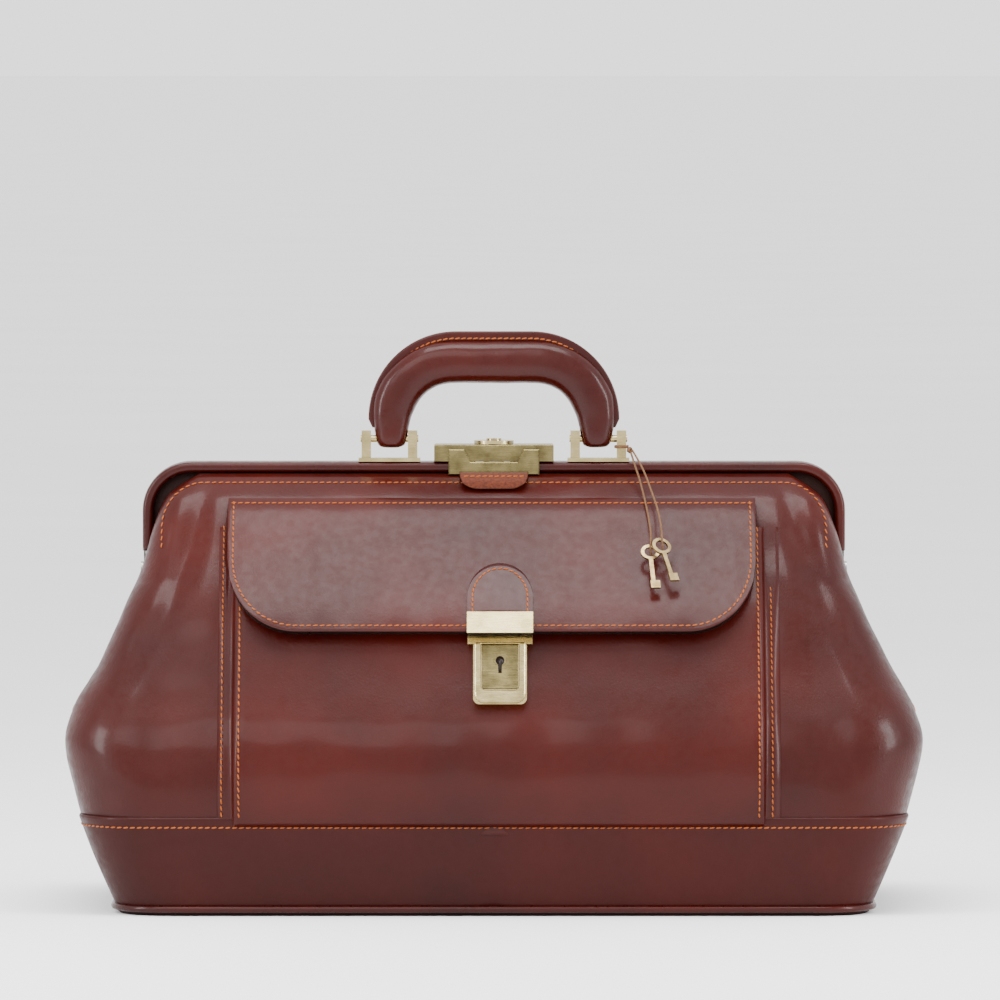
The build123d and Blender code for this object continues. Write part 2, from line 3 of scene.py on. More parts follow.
import bpy
import numpy as np
from mathutils import Matrix, Vector, noise
from mathutils.bvhtree import BVHTree


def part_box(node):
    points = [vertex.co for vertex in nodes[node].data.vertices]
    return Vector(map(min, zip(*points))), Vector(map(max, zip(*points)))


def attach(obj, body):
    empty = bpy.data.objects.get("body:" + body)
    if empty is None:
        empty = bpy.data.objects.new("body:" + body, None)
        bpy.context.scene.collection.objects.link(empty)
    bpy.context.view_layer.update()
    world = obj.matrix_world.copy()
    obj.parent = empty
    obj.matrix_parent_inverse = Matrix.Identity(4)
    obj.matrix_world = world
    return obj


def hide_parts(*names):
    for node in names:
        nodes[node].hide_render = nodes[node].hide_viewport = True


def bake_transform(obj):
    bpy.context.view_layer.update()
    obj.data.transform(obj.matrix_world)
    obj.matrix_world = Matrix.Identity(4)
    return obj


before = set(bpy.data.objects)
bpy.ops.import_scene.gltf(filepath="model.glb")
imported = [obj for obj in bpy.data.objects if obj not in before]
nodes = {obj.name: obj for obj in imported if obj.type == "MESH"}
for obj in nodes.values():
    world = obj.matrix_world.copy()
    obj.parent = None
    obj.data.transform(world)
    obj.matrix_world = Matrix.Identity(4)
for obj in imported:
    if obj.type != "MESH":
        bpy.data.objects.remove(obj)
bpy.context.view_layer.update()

# Lengths are in metres, in the CAD frame: +Z up, the front faces -Y.
MM = 0.001


# ---- small tools ----------------------------------------------------------------------
def smooth_curve(points):
    """A function through (place, value) points, smooth and without overshoot."""
    xs = np.array([p[0] for p in points], float)
    ys = np.array([p[1] for p in points], float)
    steps = np.diff(xs)
    slopes = np.diff(ys) / steps
    tangents = np.zeros(len(xs))
    tangents[0], tangents[-1] = slopes[0], slopes[-1]
    for i in range(1, len(xs) - 1):
        if slopes[i - 1] * slopes[i] > 0:
            a, b = 2 * steps[i] + steps[i - 1], steps[i] + 2 * steps[i - 1]
            tangents[i] = (a + b) / (a / slopes[i - 1] + b / slopes[i])

    def value(x):
        x = float(np.clip(x, xs[0], xs[-1]))
        i = int(np.clip(np.searchsorted(xs, x) - 1, 0, len(steps) - 1))
        h, t = steps[i], (x - xs[i]) / steps[i]
        return (
            ys[i] * (1 + 2 * t) * (1 - t) ** 2
            + tangents[i] * h * t * (1 - t) ** 2
            + ys[i + 1] * t * t * (3 - 2 * t)
            + tangents[i + 1] * h * t * t * (t - 1)
        )

    return value


def tree(obj):
    """A search tree over a mesh object as it is now, for finding points on its skin."""
    mesh = obj.data
    return BVHTree.FromPolygons([v.co for v in mesh.vertices], [p.vertices for p in mesh.polygons])


def hit(skin, start, direction):
    """Where a ray first meets a skin, with the skin's normal there turned to face the ray."""
    place, normal, _, _ = skin.ray_cast(Vector(start), Vector(direction))
    if place is None:
        return None, None
    if normal.dot(Vector(direction)) > 0:
        normal = -normal
    return place, normal


FRONT_START, TO_BACK = -0.3, (0, 1, 0)


def from_front(skin, x, z):
    """Where a skin is first met at a place, coming from in front of the bag."""
    return hit(skin, (x, FRONT_START, z), TO_BACK)[0]


def make_piece(name, verts, faces, body, material, replaced=()):
    """A mesh piece that rides on a body. Its faces shade smoothly."""
    mesh = bpy.data.meshes.new(name)
    mesh.from_pydata([tuple(v) for v in verts], [], faces)
    mesh.update()
    obj = bpy.data.objects.new(name, mesh)
    bpy.context.scene.collection.objects.link(obj)
    for m in material if isinstance(material, (list, tuple)) else [material]:
        mesh.materials.append(m)
    mesh.polygons.foreach_set("use_smooth", [True] * len(mesh.polygons))
    if body:
        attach(obj, body)
    if replaced:
        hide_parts(*replaced)
    return obj


def bend(piece):
    """Unparents a finished piece and bakes its placement into its mesh, so it rides on no body."""
    piece.parent = None
    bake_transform(piece)


def grid_faces(rows, columns, wrap=False, flip=False):
    """Quads of a grid of rows by columns of vertices, closed round its columns if wrap."""
    faces = []
    for r in range(rows - 1):
        for c in range(columns if wrap else columns - 1):
            d = (c + 1) % columns
            quad = [r * columns + c, r * columns + d, (r + 1) * columns + d, (r + 1) * columns + c]
            faces.append(quad[::-1] if flip else quad)
    return faces


def finish_mesh(obj):
    """Applies the object's modifiers to its own mesh."""
    depsgraph = bpy.context.evaluated_depsgraph_get()
    made = bpy.data.meshes.new_from_object(obj.evaluated_get(depsgraph), depsgraph=depsgraph)
    obj.modifiers.clear()
    old = obj.data
    obj.data = made
    made.name = old.name
    bpy.data.meshes.remove(old)
    made.polygons.foreach_set("use_smooth", [True] * len(made.polygons))


def thicken(obj, thickness, inner_material=0):
    """Gives a sheet its leather thickness, with another material inside if one is given."""
    solid = obj.modifiers.new("thickness", "SOLIDIFY")
    solid.thickness = thickness
    solid.offset = -1
    solid.use_even_offset = True
    solid.use_quality_normals = True
    solid.material_offset = inner_material
    finish_mesh(obj)


def thicken_with_rim(obj, thickness, inner_material=0, rim_material=2):
    """Adds thickness to a cut sheet, with its own material on the cut edge. Not applied yet."""
    solid = obj.modifiers.new("thickness", "SOLIDIFY")
    solid.thickness = thickness
    solid.offset = -1
    solid.material_offset = inner_material
    solid.material_offset_rim = rim_material


def push(obj, amount):
    """Moves each vertex along its normal by amount(point)."""
    obj.data.update()
    normals = [v.normal.copy() for v in obj.data.vertices]
    for v, n in zip(obj.data.vertices, normals):
        v.co += n * amount(v.co)
    obj.data.update()


def soft_noise(p, size, seed=0.0):
    """Smooth noise from -1 to 1 at a point, with features of that size in metres."""
    return noise.noise(Vector((p[0] / size + seed, p[1] / size + 2 * seed, p[2] / size - seed)))


def tube(name, path, radius, body, material, sides=10, replaced=(), flat=1.0, up=None, closed=False):
    """A round bead along a path; radius may be a function of the share along it."""
    path = [Vector(p) for p in path]
    count = len(path)
    verts = []
    side_way = Vector(up) if up else None
    for i, p in enumerate(path):
        a = path[(i - 1) % count] if closed else path[max(i - 1, 0)]
        b = path[(i + 1) % count] if closed else path[min(i + 1, count - 1)]
        along = (b - a).normalized()
        if side_way is None:
            side_way = along.orthogonal().normalized()
        side_way = (side_way - along * side_way.dot(along)).normalized()
        other = along.cross(side_way)
        r = radius(i / (count - 1)) if callable(radius) else radius
        for k in range(sides):
            t = 2 * math.pi * k / sides
            verts.append(p + side_way * (r * math.cos(t)) + other * (r * flat * math.sin(t)))
    faces = grid_faces(count, sides, wrap=True)
    if closed:
        last = (count - 1) * sides
        for k in range(sides):
            d = (k + 1) % sides
            faces.append([last + k, last + d, d, k])
    else:
        faces.append(list(range(sides))[::-1])
        faces.append([(count - 1) * sides + k for k in range(sides)])
    return make_piece(name, verts, faces, body, material, replaced)


def resample(path, pitch):
    """Points at an even pitch along a path, with the direction of travel at each."""
    path = [Vector(p) for p in path]
    lengths = [0.0]
    for a, b in zip(path, path[1:]):
        lengths.append(lengths[-1] + (b - a).length)
    count = max(1, round(lengths[-1] / pitch))
    out, i = [], 0
    for k in range(count + 1):
        want = min(lengths[-1] * k / count, lengths[-1] - 1e-9)
        while lengths[i + 1] < want:
            i += 1
        share = (want - lengths[i]) / max(lengths[i + 1] - lengths[i], 1e-12)
        out.append((path[i].lerp(path[i + 1], share), (path[i + 1] - path[i]).normalized()))
    return out


STITCH_PITCH = 3.3 * MM
STITCH_LENGTH = 2.5 * MM
STITCH_RADIUS = 0.42 * MM
STITCH_SLANT = 0.16


def stitches(name, runs, skin, ray, body, material, pitch=STITCH_PITCH, size=1.0):
    """Sewing thread along runs of points, each stitch laid on the skin along its slant."""
    verts, faces = [], []
    rings = ((-0.5, 0.35), (-0.3, 1.0), (0.3, 1.0), (0.5, 0.35))
    for run in runs:
        for place, along in resample(run, pitch):
            start = Vector(place) - Vector(ray) * 0.2
            spot, normal = hit(skin, start, ray)
            if spot is None or (spot - place).length > 12 * MM + abs((spot - place).dot(Vector(ray))):
                continue
            along = (along - normal * along.dot(normal)).normalized()
            across = normal.cross(along)
            along = (along + across * STITCH_SLANT).normalized()
            across = normal.cross(along)
            base = len(verts)
            for share, width in rings:
                middle = spot + along * (STITCH_LENGTH * size * share) + normal * 0.12 * MM
                for k in range(6):
                    t = math.pi * k / 3
                    r = STITCH_RADIUS * size * width
                    verts.append(middle + across * (r * math.cos(t)) + normal * (r * 0.8 * math.sin(t)))
            for q in grid_faces(4, 6, wrap=True):
                faces.append([base + i for i in q])
            faces.append([base + i for i in range(6)][::-1])
            faces.append([base + 18 + i for i in range(6)])
    return make_piece(name, verts, faces, body, material)


# ---- materials ------------------------------------------------------------------------
def new_material(name, color, roughness, metallic=0.0, coat=0.0, coat_roughness=0.2, sheen=0.0):
    """A Principled material with its constants set directly on the shader's sockets."""
    mat = bpy.data.materials.new(name)
    mat.use_nodes = True
    shader = mat.node_tree.nodes["Principled BSDF"]
    shader.inputs["Base Color"].default_value = (*color, 1)
    shader.inputs["Roughness"].default_value = roughness
    shader.inputs["Metallic"].default_value = metallic
    shader.inputs["Coat Weight"].default_value = coat
    shader.inputs["Coat Roughness"].default_value = coat_roughness
    shader.inputs["Sheen Weight"].default_value = sheen
    return mat, mat.node_tree, shader


def texture(tree, kind, scale, detail=3.0, stretch=(1, 1, 1)):
    """A procedural texture node on object coordinates, stretched along an axis if asked."""
    place = tree.nodes.new("ShaderNodeTexCoord")
    spread = tree.nodes.new("ShaderNodeMapping")
    spread.inputs["Scale"].default_value = stretch
    node = tree.nodes.new(kind)
    node.inputs["Scale"].default_value = scale
    if "Detail" in node.inputs:
        node.inputs["Detail"].default_value = detail
    tree.links.new(place.outputs["Object"], spread.inputs["Vector"])
    tree.links.new(spread.outputs["Vector"], node.inputs["Vector"])
    return node


def blend_colors(tree, source, stops, target):
    """Drives a colour or roughness socket from a texture through a ramp of (place, value)."""
    ramp = tree.nodes.new("ShaderNodeValToRGB")
    elements = ramp.color_ramp.elements
    while len(elements) < len(stops):
        elements.new(0.5)
    for element, (place, value) in zip(elements, stops):
        element.position = place
        element.color = (*value, 1) if isinstance(value, tuple) else (value, value, value, 1)
    tree.links.new(source, ramp.inputs["Fac"])
    tree.links.new(ramp.outputs["Color"], target)


def add_bump(tree, shader, layers):
    """Stacks bump layers, each (height socket, strength, distance in metres)."""
    before = None
    for height, strength, distance in layers:
        bump = tree.nodes.new("ShaderNodeBump")
        bump.inputs["Strength"].default_value = strength
        bump.inputs["Distance"].default_value = distance
        tree.links.new(height, bump.inputs["Height"])
        if before:
            tree.links.new(before, bump.inputs["Normal"])
        before = bump.outputs["Normal"]
    tree.links.new(before, shader.inputs["Normal"])


def leather(name, dark, mid, light, roughness, grain, coat):
    """Glazed cowhide: uneven colour, fine pebble grain, soft creases and a thin gloss coat."""
    mat, tree, shader = new_material(name, mid, roughness, coat=coat, coat_roughness=0.16)
    shader.inputs["Specular IOR Level"].default_value = 0.12
    clouds = texture(tree, "ShaderNodeTexNoise", 14, 6)
    blend_colors(tree, clouds.outputs["Fac"], [(0.3, dark), (0.52, mid), (0.74, light)],
                 shader.inputs["Base Color"])
    rough = texture(tree, "ShaderNodeTexNoise", 260, 4)
    low, high = max(roughness - 0.07, 0.08), roughness + 0.1
    blend_colors(tree, rough.outputs["Fac"], [(0.35, low), (0.7, high)], shader.inputs["Roughness"])
    pebbles = texture(tree, "ShaderNodeTexVoronoi", 900)
    pebbles.feature = "SMOOTH_F1"
    creases = texture(tree, "ShaderNodeTexNoise", 110, 7, (1, 1, 0.35))
    add_bump(tree, shader, [
        (creases.outputs["Fac"], 0.35 * grain, 0.0012),
        (pebbles.outputs["Distance"], 0.5 * grain, 0.00022),
    ])
    return mat


def brushed_metal(name, bright, worn, roughness, stretch=(0.06, 1, 1)):
    """Antique brass: fine brushing lines along X, darker patina in clouds."""
    mat, tree, shader = new_material(name, bright, roughness, metallic=1.0)
    patina = texture(tree, "ShaderNodeTexNoise", 120, 5)
    blend_colors(tree, patina.outputs["Fac"], [(0.36, worn), (0.6, bright)],
                 shader.inputs["Base Color"])
    lines = texture(tree, "ShaderNodeTexNoise", 2600, 2, stretch)
    blend_colors(tree, lines.outputs["Fac"], [(0.3, roughness - 0.08), (0.7, roughness + 0.1)],
                 shader.inputs["Roughness"])
    add_bump(tree, shader, [(lines.outputs["Fac"], 0.12, 0.00012)])
    return mat


def fibre(name, dark, light, scale, stretch, distance, roughness=0.6, sheen=0.0):
    """Thread, twine, cloth or suede: fine fibres with a colour that varies along them."""
    mat, tree, shader = new_material(name, light, roughness, sheen=sheen)
    shader.inputs["Specular IOR Level"].default_value = 0.2
    strands = texture(tree, "ShaderNodeTexNoise", scale, 4, stretch)
    blend_colors(tree, strands.outputs["Fac"], [(0.3, dark), (0.7, light)],
                 shader.inputs["Base Color"])
    add_bump(tree, shader, [(strands.outputs["Fac"], 0.5, distance)])
    return mat


body_leather = leather("body_leather", (0.0200, 0.0010, 0.0004), (0.0300, 0.0016, 0.0005),
                       (0.0430, 0.0026, 0.0008), 0.38, 0.6, 0.12)
band_leather = leather("band_leather", (0.0180, 0.0011, 0.0005), (0.0250, 0.0015, 0.0006),
                       (0.0330, 0.0020, 0.0008), 0.44, 0.4, 0.05)
trim_leather = leather("trim_leather", (0.0190, 0.0010, 0.0004), (0.0280, 0.0015, 0.0005),
                       (0.0400, 0.0024, 0.0008), 0.32, 0.5, 0.18)
# Near-black paint for cut leather edges; the keyhole uses it too, as painted shade for the hole's dark
# inside.
edge_paint_and_keyhole_shade = leather("edge_paint_and_keyhole_shade", (0.003, 0.0015, 0.001), (0.005, 0.002, 0.0015),
                     (0.008, 0.003, 0.002), 0.34, 0.35, 0.2)
sole_leather = leather("sole_leather", (0.009, 0.0018, 0.0010), (0.014, 0.0028, 0.0016),
                       (0.020, 0.004, 0.0022), 0.55, 0.8, 0.0)
suede = fibre("suede", (0.040, 0.006, 0.0014), (0.095, 0.018, 0.0045), 900, (1, 1, 1), 0.0004, 0.75, 0.06)
lining_cloth = fibre("lining_cloth", (0.130, 0.075, 0.040), (0.230, 0.145, 0.085), 1500,
                     (1, 1, 0.15), 0.0003, 0.85)
thread = fibre("thread", (0.150, 0.030, 0.003), (0.340, 0.080, 0.009), 3000, (1, 1, 1), 0.0002, 0.5)
twine = fibre("twine", (0.060, 0.026, 0.011), (0.160, 0.080, 0.036), 2600, (1, 1, 0.4), 0.0003, 0.7)
board = fibre("board", (0.180, 0.125, 0.080), (0.320, 0.240, 0.160), 700, (1, 1, 1), 0.0002, 0.85)
bright_brass = brushed_metal("bright_brass", (0.440, 0.355, 0.175), (0.330, 0.260, 0.120), 0.22)
dark_brass = brushed_metal("dark_brass", (0.190, 0.152, 0.066), (0.110, 0.086, 0.036), 0.26)
key_metal = brushed_metal("key_metal", (0.420, 0.310, 0.150), (0.180, 0.120, 0.055), 0.36)
steel = brushed_metal("steel", (0.500, 0.490, 0.470), (0.300, 0.290, 0.280), 0.33)

METAL_NODES = {
    bright_brass: ["lock_body", "lock_top_bar", "flap_lock_bar", "bracket_left", "bracket_right",
                   "turn_disc", "striker", "handle_pins"],
    dark_brass: ["release_plate", "key_core", "top_lock_case", "top_lock_plate"],
    key_metal: ["key_front", "key_rear"],
    steel: ["front_frame_bar", "back_frame_bar", "hinge_pins", "lock_backing", "handle_core",
            "lock_bolt"],
    board: ["base_board"],
}
for metal, names in METAL_NODES.items():
    for name in names:
        for place in nodes[name].material_slots:
            place.material = metal

# ---- the bag's outline: height, half width, half depth and corner radius in metres -------
half_width = smooth_curve([(0.040, 0.1990), (0.060, 0.2045), (0.084, 0.2093), (0.100, 0.2050),
                           (0.120, 0.1935), (0.150, 0.1795), (0.166, 0.1725), (0.185, 0.1675),
                           (0.200, 0.1610), (0.207, 0.1530), (0.212, 0.1450)])
half_depth = smooth_curve([(0.040, 0.0935), (0.062, 0.0940), (0.080, 0.0920), (0.092, 0.0882),
                           (0.104, 0.0819), (0.120, 0.0733), (0.150, 0.0580), (0.175, 0.0425),
                           (0.200, 0.0270), (0.206, 0.0198), (0.212, 0.0112)])
corner = smooth_curve([(0.040, 0.031), (0.084, 0.040), (0.120, 0.037), (0.150, 0.030),
                       (0.175, 0.022), (0.200, 0.013), (0.212, 0.007)])
panel_edge = smooth_curve([(0.040, 0.058), (0.086, 0.056), (0.120, 0.045), (0.150, 0.035),
                           (0.162, 0.024), (0.173, 0.0115), (0.212, 0.0103)])


def rounded_outline(half_w, half_d, radius, steps=16, straight=40):
    """Points round a rounded rectangle, from the middle of the back, going through the left."""
    corner_at = ((-half_w + radius, half_d - radius, 90), (-half_w + radius, -half_d + radius, 180),
                 (half_w - radius, -half_d + radius, 270), (half_w - radius, half_d - radius, 0))
    points = []
    for x, y, start in corner_at:
        for k in range(steps + 1):
            t = math.radians(start + 90 * k / steps)
            points.append((x + radius * math.cos(t), y + radius * math.sin(t)))
        nxt = corner_at[(corner_at.index((x, y, start)) + 1) % 4]
        t = math.radians(nxt[2])
        goal = (nxt[0] + radius * math.cos(t), nxt[1] + radius * math.sin(t))
        last = points[-1]
        for k in range(1, straight):
            points.append((last[0] + (goal[0] - last[0]) * k / straight,
                           last[1] + (goal[1] - last[1]) * k / straight))
    return points


def ring_piece(name, rows, body, material, replaced=(), shape=None, capped=False):
    """A ring round the bag through rows of (height, half width, half depth, corner radius)."""
    verts = []
    for z, half_w, half_d, radius in rows:
        for x, y in rounded_outline(half_w, half_d, radius):
            verts.append(shape(x, y, z) if shape else (x, y, z))
    columns = len(verts) // len(rows)
    faces = grid_faces(len(rows), columns, wrap=True, flip=True)
    if capped:
        faces.append(list(range(columns)))
        faces.append([(len(rows) - 1) * columns + k for k in range(columns)][::-1])
    return make_piece(name, verts, faces, body, material, replaced)


WALL_LOW, WALL_HIGH = 0.040, 0.212
WALL_ROWS, WALL_COLUMNS = 85, 150
WALL_THICK = 0.0025


def front_outline(z, columns=WALL_COLUMNS):
    """The front half of the outline at a height, from the left panel edge to the right one."""
    half_w, half_d, radius = half_width(z), half_depth(z), corner(z)
    radius = min(radius, half_d - panel_edge(z) - 0.0001)
    side = half_d - radius - panel_edge(z)
    front = 2 * (half_w - radius)
    arc = math.pi * radius / 2
    total = 2 * side + 2 * arc + front
    points = []
    for k in range(columns):
        s = total * k / (columns - 1)
        mirror = 1
        if s > total / 2:
            s, mirror = total - s, -1
        if s <= side:
            x, y = -half_w, -panel_edge(z) - s
        elif s <= side + arc:
            t = (s - side) / radius
            x = -half_w + radius * (1 - math.cos(t))
            y = -(half_d - radius) - radius * math.sin(t)
        else:
            x, y = -half_w + radius + (s - side - arc), -half_d
        points.append((mirror * x, y))
    return points


# ---- soft folds of the leather ---------------------------------------------------------
# each fold: middle x, middle z, lean (dx per dz), half length, half width, depth, in metres
FOLDS = [
    (-0.150, 0.178, 0.25, 0.034, 0.0060, 0.0022), (-0.136, 0.170, 0.10, 0.040, 0.0075, -0.0016),
    (-0.165, 0.140, 0.45, 0.030, 0.0070, 0.0018), (0.152, 0.176, -0.30, 0.034, 0.0060, 0.0022),
    (0.140, 0.166, -0.12, 0.042, 0.0080, -0.0016), (0.168, 0.142, -0.42, 0.034, 0.0075, 0.0020),
    (0.158, 0.110, -0.20, 0.030, 0.0100, 0.0014), (-0.160, 0.098, 0.20, 0.026, 0.0110, 0.0012),
]


def leather_sag(p, seed=0.0):
    """How far the wall leather moves inwards at a point: folds and a slow unevenness."""
    move = 0.0
    for x, z, lean, length, width, depth in FOLDS:
        along = (p[2] - z) / length
        across = (p[0] - x - lean * (p[2] - z)) / width
        move += depth * math.exp(-along * along - across * across)
    move += 0.0007 * soft_noise(p, 0.045, seed) + 0.0004 * soft_noise(p, 0.018, seed + 3)
    return move * min(1.0, max(0.0, (p[2] - 0.046) / 0.02)) * min(1.0, max(0.0, (0.212 - p[2]) / 0.01))


def wall_shell(name, side, replaced):
    """The front (side -1) or back (side 1) leather wall, from inside the band to the frame."""
    heights = [WALL_LOW + (WALL_HIGH - WALL_LOW) * k / WALL_ROWS for k in range(WALL_ROWS + 1)]
    verts = []
    for z in heights:
        verts += [(-side * x, side * abs(y), z) for x, y in front_outline(z)]
    faces = grid_faces(len(heights), WALL_COLUMNS)
    shell = make_piece(name, verts, faces, "bag_body", [body_leather, lining_cloth],
                       replaced)
    push(shell, lambda p: -leather_sag(p, 0.0 if side < 0 else 7.0))
    outward = sum(face.normal.y * side * face.area for face in shell.data.polygons)
    if outward < 0:
        shell.data.flip_normals()
    thicken(shell, WALL_THICK, inner_material=1)
    return shell


front_shell = wall_shell("front_wall", -1, ["front_panel", "front_wall_top"])
back_shell = wall_shell("back_wall", 1, ["back_panel", "back_wall_top"])
front_skin = tree(front_shell)
back_skin = tree(back_shell)


def follow_mouth(piece):
    """Unparents a piece through bend and bakes its placement into its mesh."""
    bend(piece)


def front_y(x, z):
    """Y of the front wall's outer face at a place."""
    spot = from_front(front_skin, x, z)
    return spot.y if spot else -half_depth(z)


# ---- camera and key cord ---------------------------------------------------------------
VIEW_WIDTH = 0.493
VIEW_DISTANCE = 5.0
VIEW_RISE = math.radians(2.5)
AIM = Vector((0.003, 0.0, 0.1985))

camera_data = bpy.data.cameras.new("camera")
camera_data.sensor_width = 36
camera_data.lens = 36 * VIEW_DISTANCE / VIEW_WIDTH
camera_data.clip_end = 500
camera = bpy.data.objects.new("camera", camera_data)
back_to_front = Vector((0, -math.cos(VIEW_RISE), math.sin(VIEW_RISE)))
camera.location = AIM + back_to_front * VIEW_DISTANCE
camera.rotation_euler = (-back_to_front).to_track_quat("-Z", "Y").to_euler()
bpy.context.scene.collection.objects.link(camera)
bpy.context.scene.camera = camera

# from the knot down the first strand, through both bows and back up to the knot, in mm
CORD_ROUTE = [
    (67.3, -13.4, 222.5),
    (69.2, -17.4, 216.6),
    (71.6, -24.8, 209.4),
    (73.5, -34.2, 201.9),
    (75.2, -44.6, 194.0),
    (76.1, -51.3, 188.9),
    (76.5, -57.0, 185.2),
    (76.5, -61.3, 181.7),
    (76.2, -63.2, 177.4),
    (76.5, -62.1, 173.8),
    (81.6, -61.9, 174.0),
    (82.2, -62.8, 177.8),
    (81.9, -63.9, 181.4),
    (81.7, -61.2, 185.7),
    (81.3, -56.1, 189.7),
    (80.3, -48.3, 194.8),
    (78.8, -40.7, 199.9),
    (76.9, -34.6, 205.0),
    (74.2, -26.0, 212.4),
    (71.0, -17.6, 218.9),
    (68.1, -12.9, 223.4),
]
CORD_DIAMETER = 1.0 * MM

line = bpy.data.curves.new("cord_line", "CURVE")
line.dimensions = "3D"
line.resolution_u = 8
spline = line.splines.new("NURBS")
spline.points.add(len(CORD_ROUTE) - 1)
for point, (x, y, z) in zip(spline.points, CORD_ROUTE):
    point.co = (x * MM, y * MM, z * MM, 1)
spline.order_u = 3
spline.use_endpoint_u = True
line_object = bpy.data.objects.new("cord_line", line)
bpy.context.scene.collection.objects.link(line_object)
line_mesh = bpy.data.meshes.new_from_object(line_object)
cord_path = [v.co.copy() for v in line_mesh.vertices]
bpy.data.objects.remove(line_object)
bpy.data.meshes.remove(line_mesh)

cord = tube("key_cord_twine", cord_path, CORD_DIAMETER / 2, "key_hanger", twine, sides=8,
            replaced=["key_cord"])


def cord_bundle(name, center, radius, turns, body, replaced):
    """A small tied bundle: turns of twine wound over each other round a centre."""
    path = []
    for k in range(turns * 14 + 1):
        t = 2 * math.pi * k / 14
        tilt = 0.9 * k / 14
        p = Vector((math.cos(t), math.sin(t), 0)) * radius
        p.rotate(Matrix.Rotation(tilt * 2.1, 3, "X") @ Matrix.Rotation(tilt, 3, "Y"))
        path.append(Vector(center) + p)
    return tube(name, path, CORD_DIAMETER / 2, body, twine, sides=8, replaced=replaced)


low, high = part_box("key_knot")
knot = cord_bundle("key_knot_twine", [(a + b) / 2 for a, b in zip(low, high)], 1.15 * MM, 5,
                   "key_hanger", ["key_knot"])
low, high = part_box("key_cord_wrap")
wrap_path = []
WRAP_TURNS = 2
for k in range(WRAP_TURNS * 24 + 1):
    t = 2 * math.pi * k / 24
    half = Vector(((high[0] - low[0]) / 2 - 0.4 * MM, (high[1] - low[1]) / 2 - 0.4 * MM))
    c, s = math.cos(t), math.sin(t)
    bulge = max(abs(c), abs(s))
    wrap_path.append(((low[0] + high[0]) / 2 + half.x * c / bulge ** 0.8,
                      (low[1] + high[1]) / 2 + half.y * s / bulge ** 0.8,
                      low[2] + 0.5 * MM + (high[2] - low[2] - 1.0 * MM) * k / (WRAP_TURNS * 24)))
tube("key_cord_wrap_twine", wrap_path, CORD_DIAMETER / 2, "front_frame", twine, sides=8,
     replaced=["key_cord_wrap"])
bend(cord)


# ---- walls: sides, gussets, band, base and lining -----------------------------------------
def side_grid(name, side, replaced):
    """The stiff lower side panel, between the two walls, up to its stitched top edge."""
    verts = []
    rows, columns = 24, 40
    for r in range(rows):
        z = 0.040 + 0.0605 * r / (rows - 1)
        span = panel_edge(z) + 0.0035
        for c in range(columns):
            y = span * (2 * c / (columns - 1) - 1)
            crown = 0.0012 * (1 - (y / span) ** 2)
            x = half_width(z) - 0.0006 + crown
            verts.append((side * x, y, z))
    panel = make_piece(name, verts, grid_faces(rows, columns, flip=side < 0), "bag_body",
                       [body_leather, edge_paint_and_keyhole_shade], replaced)
    thicken(panel, 0.0025, inner_material=0)
    return panel


def gusset(name, side, replaced):
    """The soft side above the panel: folded inwards along its middle up to the hinge."""
    verts = []
    rows, columns = 34, 41
    for r in range(rows):
        rise = r / (rows - 1)
        z = 0.094 + 0.0745 * rise
        tuck = 0.0065 * max(0.0, (z - 0.158) / 0.0105)
        span = panel_edge(z) + 0.002
        fold = 0.003 + 0.016 * math.sin(math.pi * min(1, rise * 1.15)) ** 0.7 * (1 - 0.55 * rise)
        for c in range(columns):
            y = span * (2 * c / (columns - 1) - 1)
            share = abs(y) / span
            inward = 0.0026 + tuck + fold * (1 - share) ** 1.25 + 0.0010 * soft_noise((y, z, side), 0.02)
            verts.append((side * (half_width(z) - inward), y, z))
    piece = make_piece(name, verts, grid_faces(rows, columns, flip=side < 0), "bag_body",
                       body_leather, replaced)
    thicken(piece, 0.0014)
    return piece


side_skins = {}
for side, word in ((-1, "left"), (1, "right")):
    panel = side_grid(f"side_panel_{word}_leather", side, [f"side_panel_{word}"])
    side_skins[side] = tree(panel)
    gusset(f"gusset_{word}_leather", side, [f"gusset_{word}"])

BAND_LOW, BAND_HIGH = 0.0032, 0.0475
band_rows = []
for k in range(25):
    share = k / 24
    z = BAND_LOW + (BAND_HIGH - BAND_LOW) * share
    belly = 0.0006 * math.sin(math.pi * share)
    band_rows.append((z, 0.1840 + 0.0180 * share + belly, 0.0855 + 0.0095 * share + belly,
                      0.025 + 0.005 * share))
ROLL = 0.0013
for k in range(1, 9):
    t = math.pi * k / 8
    out = ROLL * (math.cos(t) - 1)
    band_rows.append((BAND_HIGH + ROLL * math.sin(t), 0.2020 + out, 0.0950 + out, 0.030 + out))
band_rows.append((BAND_HIGH - 0.008, 0.1975, 0.0905, 0.0262))


def band_shape(x, y, z):
    """Dents the band at the middle of the front and back, and wears the leather.

    The dent stands for a vertical seam, and comes out wider, since the ring's columns are far apart.
    """
    seam = math.exp(-(x / 0.0011) ** 2) * 0.0011 if abs(y) > 0.05 else 0.0
    wave = 0.00035 * soft_noise((x, y, z), 0.03, 5)
    scale = 1 - (seam + wave) / 0.095
    return (x * (1 - wave / 0.2), y * scale, z)


